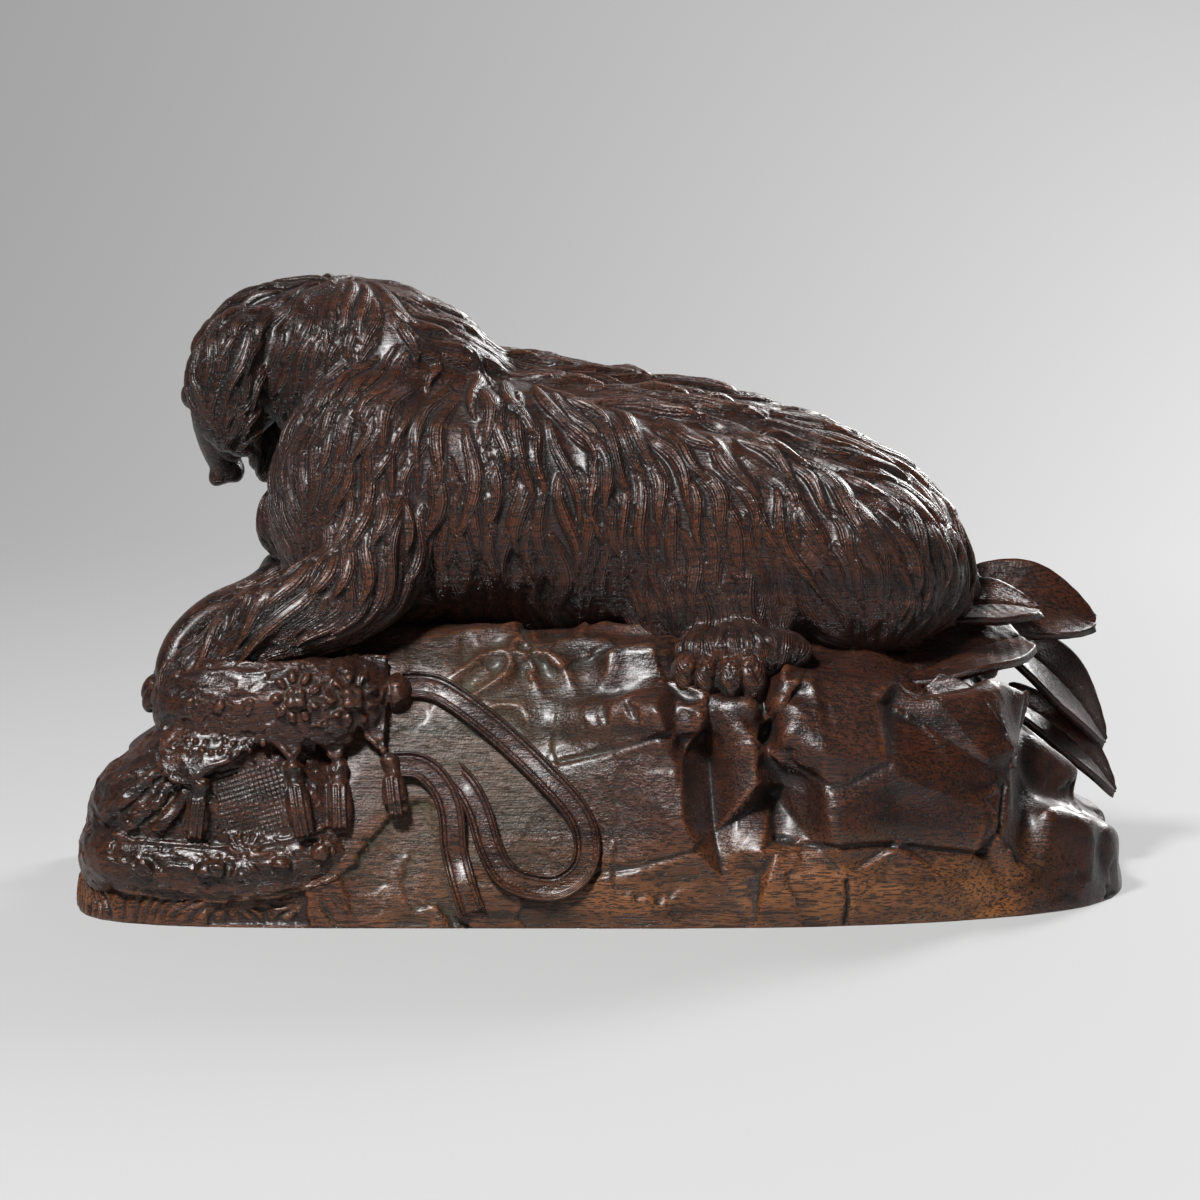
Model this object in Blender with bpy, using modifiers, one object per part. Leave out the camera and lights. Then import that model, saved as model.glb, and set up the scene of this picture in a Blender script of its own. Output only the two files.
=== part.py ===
"""A carved wooden dog: a long-haired dog lies on a rocky mound, its forelegs over a game bag.

The whole group is cut from one block of walnut, so it is one solid. +X runs from the dog's head
to its tail, -Y is the side with the bag, and the origin is on the ground under the middle.
"""

import math
import random

import bmesh
import bpy
import numpy as np
from mathutils import Euler, Matrix, Vector
from mathutils.bvhtree import BVHTree

# The driving size, in metres. Free forms are laid out in shares of it, 336 to the whole length,
# and every coordinate in a table below is in those shares.
LENGTH = 0.336
SHARE = LENGTH / 336

# Sizes of the made things that the carver copied, in metres.
STRAP_WIDTH = 0.0082
STRAP_THICKNESS = 0.0030
STRAP_RIM = 0.0009
LEAF_THICKNESS = 0.0026
FLAP_THICKNESS = 0.0050
STUD_RADIUS = 0.0040
TASSEL_RADIUS = 0.0033
LOG_RADIUS = 0.0078

# Sizes of the hair, in metres.
LOCK_WIDTH = 0.0100
LOCK_RISE = 0.0030
LOCK_SPACING = 0.0092

# How finely the block is worked: the chisel's grid, and the faces left in the finished solid.
BODY_VOXEL = 0.0020
VOXEL = 0.0014
TRIANGLES = 10100
FOOT_TRIM = 0.0008

# The dog's trunk, head end first: x, y, z of the middle, half width, half height.
TRUNK = [
    (-97, -2, 119, 14, 16),
    (-92, -2, 120, 27, 28),
    (-84, -1, 122, 36, 37),
    (-69, 0, 124, 40, 42),
    (-45, 1, 125, 42, 43),
    (-18, 2, 122, 42, 42),
    (12, 2, 118, 42, 42),
    (42, 1, 114, 43, 41),
    (69, 1, 109, 43, 38),
    (89, 2, 103, 39, 33),
    (102, 3, 99, 31, 26),
    (111, 4, 96, 20, 17),
    (115, 5, 95, 8, 8),
]

# The arched neck and the skull, from the withers forwards and down.
NECK = [
    (-43, 8, 146, 28, 24),
    (-60, 8, 158, 30, 29),
    (-80, 8, 166, 29, 29),
    (-98, 8, 168, 26, 26),
    (-112, 9, 165, 21, 22),
    (-118, 10, 158, 17, 15),
]

# The muzzle, pointing down to the nose.
MUZZLE = [
    (-118, 11, 160, 13.5, 14),
    (-122.5, 13, 152, 11, 11),
    (-123.3, 14, 144, 9, 8.4),
    (-122.8, 15, 137, 7.2, 6.2),
    (-122, 15, 131.5, 5, 4),
]

# The back hair on the far side of the parting, which stands above it.
BACK_RIDGE = [
    (-54, 16, 158, 9, 14),
    (-27, 16, 158, 10, 13),
    (3, 16, 153.5, 10, 12),
    (32, 16, 148.5, 10, 12),
    (58, 15, 142, 10, 11),
    (76, 13, 134.5, 9, 9),
    (90, 11, 124, 8, 7),
]

NEAR_FORELEG = [
    (-70, -36, 116, 15, 16),
    (-76, -43, 103, 13, 14),
    (-90, -47, 96, 11, 13),
    (-105, -50, 90, 10, 12),
    (-119, -52, 80, 9, 9.5),
    (-128, -53, 73, 8.5, 8),
    (-132, -53, 64, 8, 6),
]
FAR_FORELEG = [
    (-80, 30, 110, 15, 16),
    (-96, 27, 99, 11, 11),
    (-112, 23, 90, 8.5, 8.5),
    (-126, 18, 85, 8, 7.5),
    (-136, 12, 77, 7, 6.5),
    (-140, 8, 68, 7, 6),
]

# The tail curls forwards on the side away from the bag.
TAIL = [
    (106, 8, 96, 11, 11),
    (113, 22, 91, 10, 10),
    (110, 38, 86, 10, 9),
    (96, 50, 82, 10, 9),
    (76, 56, 80, 8.5, 8),
    (58, 56, 80, 5.5, 6),
]

# Ears hang straight down beside the head: x, y, z, half width across, half thickness.
NEAR_EAR = [
    (-109, -8, 181, 6, 7),
    (-115.5, -13, 174, 8, 10.5),
    (-118.5, -15, 164, 8, 11.5),
    (-117.5, -15, 154, 7, 10.5),
    (-114.5, -13, 146, 5, 7),
]
FAR_EAR = [
    (-109, 27, 181, 6, 7),
    (-114, 32, 172, 7, 10),
    (-115, 34, 160, 7, 11),
    (-113, 34, 148, 6, 9),
    (-110, 33, 138, 5, 6),
    (-109.5, 32, 132, 3.5, 4),
]

# Muscles and other swellings: middle, radii, turn in degrees.
SWELLINGS = [
    ((-76, -19, 130), (28, 24, 40), (0, 10, 0)),
    ((-73, 23, 128), (27, 22, 38), (0, 10, 0)),
    ((78, -19, 107), (36, 28, 29), (0, 12, 0)),
    ((76, 24, 104), (36, 24, 28), (0, 12, 0)),
    ((38, -28, 98), (34, 16, 22), (0, 0, 0)),
    ((-58, 20, 174), (11, 9, 11), (0, 20, 0)),
    ((-45, 18, 165), (12, 9, 9), (0, 20, 0)),
    ((44, -46, 82), (22, 10, 8), (0, 0, 0)),
    ((44, 46, 82), (22, 10, 8), (0, 0, 0)),
]

# Brows, nose, chin and cheeks.
FACE = [
    ((-131, 6, 158), (4.6, 4.6, 5), (0, 0, 0)),
    ((-130, 18, 158), (4.6, 4.6, 5), (0, 0, 0)),
    ((-125, 15, 130.5), (2.8, 4.0, 3.2), (0, 0, 0)),
    ((-119, 15, 133), (3.4, 4.4, 4.6), (0, 0, 0)),
    ((-119, 6.5, 144), (5.5, 3.6, 8), (0, 0, 0)),
    ((-119, 22, 144), (5.5, 3.6, 8), (0, 0, 0)),
]

# Toes: middle, radii, turn in degrees.
TOES = [
    ((-145, 3, 60), (3.8, 3.4, 5.6), (0, 25, 0)),
    ((-146, 10, 62), (3.8, 3.4, 5.6), (0, 25, 0)),
    ((-143, 17, 66), (3.6, 3.4, 5.4), (0, 20, 0)),
    ((-142, -3, 62), (3.4, 3.2, 5.2), (0, 20, 0)),
    ((25.5, -54, 76), (3.2, 6, 7.0), (18, 0, 0)),
    ((32.5, -56, 75), (3.6, 6, 7.4), (18, 0, 0)),
    ((39.5, -56, 74), (4.0, 6, 7.4), (18, 0, 0)),
    ((46.5, -54, 74.5), (3.8, 6, 7.4), (18, 0, 0)),
    ((24, 52, 77), (3.6, 6, 7.0), (-18, 0, 0)),
    ((31, 54, 76), (3.8, 6, 7.4), (-18, 0, 0)),
    ((38, 54, 75), (3.8, 6, 7.4), (-18, 0, 0)),
]

# The mound, from the ground up: z, x of the middle, half length, half depth.
MOUND = [
    (-2, 1, 166.5, 77.5),
    (6, 1, 167, 78),
    (14, 0, 164.5, 76.5),
    (30, -1, 152, 71),
    (50, -2, 139, 63),
    (66, -1, 124, 56),
    (79, 1, 108, 48),
    (88, 3, 90, 36),
]
LEFT_SQUARENESS, RIGHT_SQUARENESS = 6, 2.6

# Rock that breaks out of the mound: middle, size, turn in degrees.
ROCKS = [
    ((91, -50, 9), (76, 34, 30), (-8, 1, 14)),
    ((96, -50, 31), (66, 32, 24), (-20, 4, 15)),
    ((72, -50, 57), (42, 28, 32), (-36, 8, 10)),
    ((106, -42, 52), (42, 30, 28), (-28, -10, 20)),
    ((8, -59, 33), (42, 28, 46), (-15, -17, -2)),
    ((6, -61, 10), (62, 30, 26), (-8, 4, -2)),
    ((42.5, -55, 42), (14, 32, 50), (-16, -3, 4)),
    ((47, -60, 10), (42, 32, 24), (-9, -2, 3)),
    ((18, -52, 62), (34, 20, 16), (-30, -12, -8)),
    ((12, -46, 78), (22, 14, 12), (-10, 0, 0)),
    ((137, -32, 14), (24, 36, 32), (-10, 16, 30)),
    ((148, -14, 12), (26, 40, 28), (-4, 24, 16)),
    ((150, 16, 12), (28, 40, 26), (0, 20, -12)),
    ((133, -14, 36), (26, 32, 22), (-14, 34, 26)),
    ((137, 16, 36), (26, 32, 24), (8, 38, -16)),
    ((121, -32, 58), (20, 26, 24), (-24, 22, 22)),
    ((124, 38, 16), (46, 44, 40), (14, 10, -28)),
    ((116, 34, 44), (36, 40, 30), (22, 24, -26)),
    ((74, 60, 10), (52, 34, 34), (8, -6, -5)),
    ((66, 54, 40), (44, 30, 34), (24, 8, 6)),
    ((92, 44, 60), (40, 26, 26), (34, -8, -12)),
    ((26, 63, 16), (44, 34, 44), (12, 10, 5)),
    ((10, 52, 52), (48, 26, 30), (30, -8, -4)),
    ((-22, 63, 10), (50, 34, 30), (6, -5, -4)),
    ((-36, 56, 40), (42, 30, 32), (22, 10, 6)),
    ((-66, 60, 18), (42, 36, 44), (12, -8, 4)),
    ((-88, 48, 52), (46, 28, 30), (30, 6, -6)),
    ((-108, 60, 10), (54, 34, 32), (8, 6, 5)),
    ((-122, 48, 34), (36, 34, 30), (20, -18, 22)),
    ((-144, 30, 10), (36, 56, 30), (4, -12, 8)),
    ((-142, 8, 12), (32, 44, 26), (-4, -20, -8)),
    ((-134, 26, 34), (34, 42, 28), (8, -32, 10)),
]

# Deep upright clefts between the blocks of rock.
CLEFTS = [
    ((31.5, -74, 42), (6, 16, 42), (-15, -3, 16)),
    ((52, -73, 40), (4.5, 16, 42), (-14, -7, 12)),
    ((-46, 78, 26), (6, 20, 50), (14, 8, -16)),
    ((48, 78, 26), (6, 20, 50), (14, -8, 14)),
]

LOG = [((-20, -54, 57), 0.8), ((0, -58, 62), 0.95), ((20.5, -66, 66.5), 1.0)]

# Leaves behind the rump: root, tip, the way the upper side faces, and half width as a share.
LEAVES = [
    ((116, 16, 92), (161.5, 22, 82), (0.35, -0.75, 0.6), 12.5),
    ((110, -8, 90), (141, -2, 89), (0.1, -0.5, 1.0), 10),
    ((134, -8, 82), (94, -34, 71), (-0.25, -0.7, 0.75), 12),
    ((101, -42, 70), (127, -50, 45), (0.2, -1.0, 0.4), 10),
    ((130, 14, 80), (165.5, 26, 42), (0.75, -0.5, 0.4), 11),
    ((132, 10, 60), (168.5, 22, 26), (0.75, -0.5, 0.45), 8.5),
    ((122, 30, 88), (150, 46, 64), (0.6, 0.35, 0.7), 11.5),
    ((110, 38, 86), (130, 64, 58), (0.3, 0.7, 0.6), 11.5),
    ((98, 42, 82), (94, 66, 54), (-0.1, 0.85, 0.5), 11),
]

# The bag's stuffed body and its corners: middle, radii, turn.
BAG_BODY = [
    ((-112, -50, 38), (39, 24, 29), (-16, 0, 0)),
    ((-98, -53, 30), (26, 22, 24), (-12, 0, 0)),
    ((-134, -47, 30), (27, 26, 24), (-8, 10, 0)),
    ((-149, -46, 20), (15, 24, 17), (0, 8, 0)),
    ((-102, -50, 66), (36, 18, 17), (-18, 0, 0)),
    ((-61, -52, 70), (7, 9, 8), (0, 0, 0)),
]

# The roll along the bag's lower edge.
BAG_ROLL = [
    (-156, -50, 22, 7.5, 9),
    (-150.5, -63, 20, 8.5, 9.5),
    (-132, -69, 18, 9, 10),
    (-112, -70.5, 17.5, 9, 10),
    (-94, -69.5, 20, 9, 10),
    (-81, -65, 25, 8, 9.5),
    (-76.5, -59, 34, 7, 8.5),
    (-75, -54, 47, 6.5, 8),
]

# The flap: its lower edge, left to right, as (x, z), and the height of its fold.
FLAP_EDGE = [
    (-135, 47), (-127.5, 45), (-120, 49), (-115, 51), (-110.3, 54), (-104.7, 57.5), (-99.8, 56),
    (-95, 51.5), (-92, 59.5), (-86.5, 57), (-81.8, 50.5), (-76.3, 63), (-72.3, 57), (-66.7, 52.3),
]
FLAP_TOP = 79

# Folds of leather that gather from the flap's corner to the roll.
GATHERS = [
    [(-135, 49), (-143.6, 42), (-153, 33)],
    [(-130, 47), (-137, 39), (-146, 31)],
    [(-125, 46), (-129.7, 39), (-137, 30)],
]
GATHER_RADIUS = 2.6

# Tassels: top and bottom as (x, z).
TASSELS = [
    ((-95.4, 51), (-91.5, 29)),
    ((-81.2, 50), (-80.3, 30)),
    ((-65.5, 52), (-63, 33)),
    ((-122.6, 46), (-125, 27)),
]

# Studs on the flap and on the roll, as (x, z).
STUDS = [(-94, 70), (-77.5, 69), (-140, 19.5), (-119.6, 18), (-98, 21)]

# The strap's two stretches on the slope, as (x, z).
STRAP_LOOP = [
    (-62, 72), (-55.6, 72), (-48.8, 70.5), (-38.3, 63.7), (-27.8, 55.3), (-17.2, 46), (-8.3, 36.9),
    (-4.6, 28.5), (-5.5, 19), (-13.2, 13), (-21.6, 13.5), (-29.9, 17), (-34.9, 26), (-37.6, 35),
    (-43, 44), (-50, 50),
]
STRAP_END = [
    (-60, 50), (-54.6, 48), (-48.8, 42), (-46, 33.5), (-45.4, 24), (-42.6, 14), (-39.8, 6),
]

# Tufts of grass round the left end of the foot.
GRASS_FROM, GRASS_TO, GRASS_COUNT = 195, 262, 30
GRASS_RADIUS = 3.0
GRASS_HEIGHT = 9.5


def at(x, y, z):
    """A point given in shares of the length, in metres."""
    return Vector((x, y, z)) * SHARE


def turned(degrees):
    return Euler([math.radians(a) for a in degrees])


def smooth_path(points, steps):
    """Points on a Catmull-Rom curve through the given ones."""
    rows = np.array(points, float)
    padded = np.vstack([2 * rows[0] - rows[1], rows, 2 * rows[-1] - rows[-2]])
    path = []
    for i in range(len(rows) - 1):
        a, b, c, d = padded[i : i + 4]
        for t in np.arange(steps) / steps:
            path.append(
                0.5 * (2 * b + (c - a) * t + (2 * a - 5 * b + 4 * c - d) * t**2
                       + (3 * b - a - 3 * c + d) * t**3)
            )
    return np.array([*path, rows[-1]])


class Form:
    """A limb or a trunk: round sections strung along a path, wide along Y."""

    def __init__(self, stations, steps=5):
        self.rows = smooth_path(stations, steps) * SHARE

    def station(self, s):
        """The section at s, from 0 at the first end to 1 at the last."""
        place = s * (len(self.rows) - 1)
        low = min(int(place), len(self.rows) - 2)
        row = self.rows[low] + (self.rows[low + 1] - self.rows[low]) * (place - low)
        along = Vector(self.rows[low + 1][:3] - self.rows[low][:3]).normalized()
        across = (Vector((0, 1, 0)) - along * along.y).normalized()
        return Vector(row[:3]), across, along.cross(across), row[3], row[4]

    def surface(self, s, angle):
        """The point and the outward direction at s, angle degrees from the top towards +Y."""
        middle, across, up, half_width, half_height = self.station(s)
        turn = math.radians(angle)
        out = across * (math.sin(turn) * half_width) + up * (math.cos(turn) * half_height)
        normal = across * (math.sin(turn) * half_height) + up * (math.cos(turn) * half_width)
        return middle + out, normal.normalized()

    def share_at(self, x):
        """The s of the section whose middle is at x, given in shares of the length."""
        rows = self.rows[:, 0]
        order = np.argsort(rows)
        return float(np.interp(x * SHARE, rows[order], order / (len(rows) - 1)))


def loft(bm, rings):
    """A closed skin over rings of points, with a flat cap at each end."""
    made = [[bm.verts.new(p) for p in ring] for ring in rings]
    count = len(made[0])
    for low, high in zip(made, made[1:]):
        for i in range(count):
            j = (i + 1) % count
            bm.faces.new((low[i], low[j], high[j], high[i]))
    bm.faces.new(made[0][::-1])
    bm.faces.new(made[-1])


def add_form(bm, stations, sides=20):
    """Lofts a form and rounds its ends."""
    form = Form(stations)
    count = len(form.rows)
    shares = [i / (count - 1) for i in range(count)]
    loft(bm, [[form.surface(s, 360 * k / sides)[0] for k in range(sides)] for s in shares])
    for row in (form.rows[0], form.rows[-1]):
        radius = min(row[3], row[4])
        add_ball(bm, Vector(row[:3]), (radius, row[3], radius))
    return form


def add_ball(bm, middle, radii, turn=(0, 0, 0)):
    """An ellipsoid, sized and placed in metres."""
    place = Matrix.LocRotScale(middle, turned(turn), Vector(radii))
    bmesh.ops.create_icosphere(bm, subdivisions=3, radius=1, matrix=place)


def add_swelling(bm, middle, radii, turn):
    add_ball(bm, at(*middle), [r * SHARE for r in radii], turn)


def add_block(bm, middle, size, turn):
    place = Matrix.LocRotScale(at(*middle), turned(turn), Vector(size) * SHARE)
    bmesh.ops.create_cube(bm, size=1, matrix=place)


def object_of(bm, name):
    mesh = bpy.data.meshes.new(name)
    bm.to_mesh(mesh)
    bm.free()
    obj = bpy.data.objects.new(name, mesh)
    bpy.context.scene.collection.objects.link(obj)
    return obj


def baked(obj):
    """The object's mesh with its modifiers applied, as a bmesh. The object is removed."""
    bpy.context.view_layer.update()
    graph = bpy.context.evaluated_depsgraph_get()
    mesh = bpy.data.meshes.new_from_object(obj.evaluated_get(graph))
    bm = bmesh.new()
    bm.from_mesh(mesh)
    bm.transform(obj.matrix_world)
    bpy.data.meshes.remove(mesh)
    bpy.data.objects.remove(obj)
    return bm


def add_tube(bm, points, radii):
    """A round tube through points in metres, made as a curve with a bevel."""
    curve = bpy.data.curves.new("tube", "CURVE")
    curve.dimensions = "3D"
    curve.bevel_depth = 1
    curve.bevel_resolution = 2
    curve.use_fill_caps = True
    spline = curve.splines.new("POLY")
    spline.points.add(len(points) - 1)
    for point, place, radius in zip(spline.points, points, radii):
        point.co = (*place, 1)
        point.radius = radius
    obj = bpy.data.objects.new("tube", curve)
    bpy.context.scene.collection.objects.link(obj)
    bpy.context.view_layer.update()
    mesh = bpy.data.meshes.new_from_object(obj.evaluated_get(bpy.context.evaluated_depsgraph_get()))
    bpy.data.objects.remove(obj)
    bm.from_mesh(mesh)
    bpy.data.meshes.remove(mesh)


def remeshed(bm, voxel, smoothing):
    """The joined outer skin of everything in bm, as one mesh on an even grid."""
    obj = object_of(bm, "rough")
    grid = obj.modifiers.new("grid", "REMESH")
    grid.mode = "VOXEL"
    grid.voxel_size = voxel
    if smoothing:
        soften = obj.modifiers.new("soften", "SMOOTH")
        soften.factor = 0.5
        soften.iterations = smoothing
    return baked(obj)


def add_lock(bm, form, start, end, width, rise, rng):
    """A lock of hair on a form, from start to end as (s, angle), pointed at its end."""
    steps = 7
    sway = rng.uniform(-1, 1) * 5
    points, radii = [], []
    for i in range(steps):
        t = i / (steps - 1)
        s = start[0] + (end[0] - start[0]) * t
        s += 0.006 * math.sin(2 * math.pi * t + sway)
        angle = start[1] + (end[1] - start[1]) * t
        point, normal = form.surface(min(max(s, 0), 1), angle)
        radius = width / 2 * math.sin(math.pi * (0.18 + 0.74 * t)) ** 0.7
        points.append(point + normal * (rise * (0.6 + 0.5 * t) - radius))
        radii.append(radius)
    add_tube(bm, points, radii)


def add_trunk_locks(bm, trunk):
    """Rows of locks that fall from the parting down both flanks, swept back towards the rump."""
    rng = random.Random(5)
    rows = [(-6, -52, 0), (-40, -84, 0.5), (-72, -118, 0), (8, 56, 0), (44, 90, 0.5), (78, 120, 0)]
    first, last = trunk.share_at(-100), trunk.share_at(112)
    spacing = LOCK_SPACING / (LENGTH * 0.69)
    count = int((last - first) / spacing)
    for start, end, shift in rows:
        for i in range(count):
            s = first + (i + shift + rng.uniform(-0.2, 0.2)) * spacing
            back = max(0.0, s - 0.45) * 0.22 + 0.012
            reach = rng.uniform(0.8, 1.15)
            lean = rng.uniform(-4, 4)
            ends = ((s, start + lean), (min(s + back, 0.97), start + (end - start) * reach + lean))
            add_lock(bm, trunk, *ends, LOCK_WIDTH * rng.uniform(0.8, 1.2), LOCK_RISE, rng)


def add_neck_locks(bm, neck):
    """Shorter locks over the crown and down the sides of the neck."""
    rng = random.Random(11)
    for ring in range(7):
        s = 0.08 + 0.125 * ring
        for k in range(11):
            angle = -140 + 28 * k + 14 * (ring % 2) + rng.uniform(-4, 4)
            side = -1 if angle < 0 else 1
            fall = 26 * side * (1 - 0.5 * abs(angle) / 140)
            ends = ((s, angle), (max(s - 0.13, 0.0), angle + fall))
            add_lock(bm, neck, *ends, LOCK_WIDTH * rng.uniform(0.7, 1.0), LOCK_RISE * 0.8, rng)


def add_ridge_locks(bm, ridge):
    """Overlapping tufts along the back, whose tips break the outline."""
    rng = random.Random(3)
    for i in range(13):
        s = 0.02 + 0.072 * i
        for angle in (-35, 10, 55):
            start = (s + rng.uniform(-0.015, 0.015), angle)
            end = (min(s + 0.15, 1), angle + rng.uniform(5, 25))
            add_lock(bm, ridge, start, end, LOCK_WIDTH * rng.uniform(0.8, 1.1), LOCK_RISE * 1.1, rng)


def add_ear_locks(bm, ear):
    """Long wavy locks down an ear."""
    rng = random.Random(17)
    for angle in range(-150, 180, 42):
        start, end = (0.12, angle), (0.96, angle + rng.uniform(-8, 8))
        add_lock(bm, ear, start, end, LOCK_WIDTH * 0.75, LOCK_RISE * 0.8, rng)


def add_tail_locks(bm, tail):
    """Long locks that lie along the tail and cross its lower side."""
    rng = random.Random(29)
    for i in range(6):
        s = 0.12 + 0.13 * i
        for angle in range(-80, 180, 52):
            start = (s + rng.uniform(-0.02, 0.02), angle)
            end = (min(s + 0.28, 1.0), angle + 12)
            add_lock(bm, tail, start, end, LOCK_WIDTH * 0.8, LOCK_RISE * 0.8, rng)


def make_dog():
    """The dog as one smoothed body with its locks."""
    bm = bmesh.new()
    trunk = add_form(bm, TRUNK, sides=28)
    neck = add_form(bm, NECK, sides=24)
    ridge = add_form(bm, BACK_RIDGE)
    tail = add_form(bm, TAIL)
    for stations in (MUZZLE, NEAR_FORELEG, FAR_FORELEG):
        add_form(bm, stations)
    for swelling in SWELLINGS:
        add_swelling(bm, *swelling)
    bm = remeshed(bm, BODY_VOXEL, 9)
    add_trunk_locks(bm, trunk)
    add_neck_locks(bm, neck)
    add_ridge_locks(bm, ridge)
    add_tail_locks(bm, tail)
    for stations in (NEAR_EAR, FAR_EAR):
        add_ear_locks(bm, add_form(bm, stations))
    for swelling in FACE + TOES:
        add_swelling(bm, *swelling)
    return bm


def outline_reach(c, s):
    """How far the foot's outline reaches towards (c, s): boxy at the bag's end, round at the other."""
    power = LEFT_SQUARENESS if c < 0 else RIGHT_SQUARENESS
    return (abs(c) ** power + abs(s) ** power) ** (-1 / power)


def trim_to_plank(bm):
    """Pushes what stands out past the foot's outline back to it, as on a block sawn to size."""
    _, middle, half_length, half_depth = (v * SHARE for v in MOUND[1])
    for vert in bm.verts:
        c, s = (vert.co.x - middle) / half_length, vert.co.y / half_depth
        length = math.hypot(c, s)
        limit = outline_reach(c / length, s / length) if length else 1
        if length > limit:
            vert.co.x = middle + (vert.co.x - middle) * limit / length
            vert.co.y *= limit / length


def make_ground():
    """The mound with its blocks of rock, the cut log and the clefts."""
    bm = bmesh.new()
    sides = 48
    rings = []
    for z, middle, half_length, half_depth in MOUND:
        ring = []
        for k in range(sides):
            turn = 2 * math.pi * k / sides
            c, s = math.cos(turn), math.sin(turn)
            reach = outline_reach(c, s)
            ring.append(at(middle + half_length * reach * c, half_depth * reach * s, z))
        rings.append(ring)
    loft(bm, rings)
    for rock in ROCKS:
        add_block(bm, *rock)
    bm = remeshed(bm, VOXEL, 1)
    trim_to_plank(bm)
    points = [at(*place) for place, _ in LOG]
    add_tube(bm, points, [LOG_RADIUS * share for _, share in LOG])
    return cut(remeshed(bm, VOXEL, 2))


def cut(bm):
    """Cuts the clefts out of the rock, and the block level with the ground."""
    cutters = bmesh.new()
    for cleft in CLEFTS:
        add_block(cutters, *cleft)
    cutter = object_of(cutters, "clefts")
    cutter.hide_render = True
    cutter.display_type = "WIRE"
    rock = object_of(bm, "rock")
    boolean = rock.modifiers.new("clefts", "BOOLEAN")
    boolean.object = cutter
    boolean.operation = "DIFFERENCE"
    bm = baked(rock)
    bpy.data.objects.remove(cutter)
    return bm


class Slope:
    """The side that faces -Y of what is carved so far, to lay things on."""

    def __init__(self, bm):
        self.tree = BVHTree.FromBMesh(bm)

    def lay(self, x, z, lift):
        """The point on the side at x and z in shares, lifted off it by lift in metres."""
        place, normal, _, _ = self.tree.ray_cast(at(x, -150, z), Vector((0, 1, 0)))
        if place is None:
            place, normal, _, _ = self.tree.find_nearest(at(x, -60, z))
        return place + (normal + Vector((0, -2, 0.6))).normalized() * lift


def add_strap(bm, slope, route):
    """A strap on the slope: a flat band with a bead along each edge."""
    route = smooth_path(route, 5)
    places = np.array([slope.lay(x, z, STRAP_THICKNESS * 0.35) for x, z in route])
    for _ in range(6):
        places[1:-1] = (places[:-2] + 2 * places[1:-1] + places[2:]) / 4
    places = [Vector(p) for p in places]
    normal = Vector((0, -1, 0.35)).normalized()
    rings, left, right = [], [], []
    for i, place in enumerate(places):
        ahead, behind = places[min(i + 1, len(places) - 1)], places[max(i - 1, 0)]
        side = (ahead - behind).normalized().cross(normal).normalized()
        half, thick = side * STRAP_WIDTH / 2, normal * STRAP_THICKNESS / 2
        deep = thick * 3
        ring = [place - half - deep, place + half - deep, place + half + thick, place - half + thick]
        rings.append(ring)
        left.append(place - half + thick)
        right.append(place + half + thick)
    loft(bm, rings)
    for edge in (left, right):
        add_tube(bm, edge, [STRAP_RIM] * len(edge))


def add_leaf(bm, root, tip, facing, half_width):
    """A broad pointed leaf with a raised fold along its middle, thickened on both sides."""
    rows, columns = 12, 7
    start, end = at(*root), at(*tip)
    along = end - start
    up = (Vector(facing) - along * (Vector(facing).dot(along) / along.length_squared)).normalized()
    side = along.normalized().cross(up)
    sheet = bmesh.new()
    grid = []
    for i in range(rows + 1):
        t = i / rows
        half = half_width * SHARE * math.sin(math.pi * (0.1 + 0.88 * t) ** 0.85) ** 0.75
        line = []
        for j in range(columns):
            across = 2 * j / (columns - 1) - 1
            dip = -0.16 * half * (1 - abs(across)) + 0.05 * half * math.sin(9 * t) * across
            bow = math.sin(math.pi * t) * 0.1 * along.length
            line.append(sheet.verts.new(start + along * t + side * (across * half) + up * (dip + bow)))
        grid.append(line)
    for low, high in zip(grid, grid[1:]):
        for j in range(columns - 1):
            sheet.faces.new((low[j], low[j + 1], high[j + 1], high[j]))
    obj = object_of(sheet, "leaf")
    thick = obj.modifiers.new("thick", "SOLIDIFY")
    thick.thickness = LEAF_THICKNESS
    thick.offset = 0
    join(bm, baked(obj))


def join(bm, other):
    """Adds everything in other to bm."""
    mesh = bpy.data.meshes.new("joined")
    other.to_mesh(mesh)
    other.free()
    bm.from_mesh(mesh)
    bpy.data.meshes.remove(mesh)


def make_bag():
    """The game bag: its body, the roll, the flap over it, gathers, tassels and studs."""
    bm = bmesh.new()
    for swelling in BAG_BODY:
        add_swelling(bm, *swelling)
    add_form(bm, BAG_ROLL)
    bm = remeshed(bm, VOXEL, 4)
    body = Slope(bm)
    add_flap(bm, body)
    for points in GATHERS:
        path = smooth_path(points, 4)
        places = [body.lay(x, z, 0) for x, z in path]
        add_tube(bm, places, [GATHER_RADIUS * SHARE] * len(places))
    for top, bottom in TASSELS:
        add_tassel(bm, body, top, bottom)
    for x, z in STUDS:
        lift = FLAP_THICKNESS * 0.8 if z > FLAP_EDGE[0][1] else 0.0
        add_ball(bm, body.lay(x, z, lift), (STUD_RADIUS, STUD_RADIUS * 0.75, STUD_RADIUS))
    return bm


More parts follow.
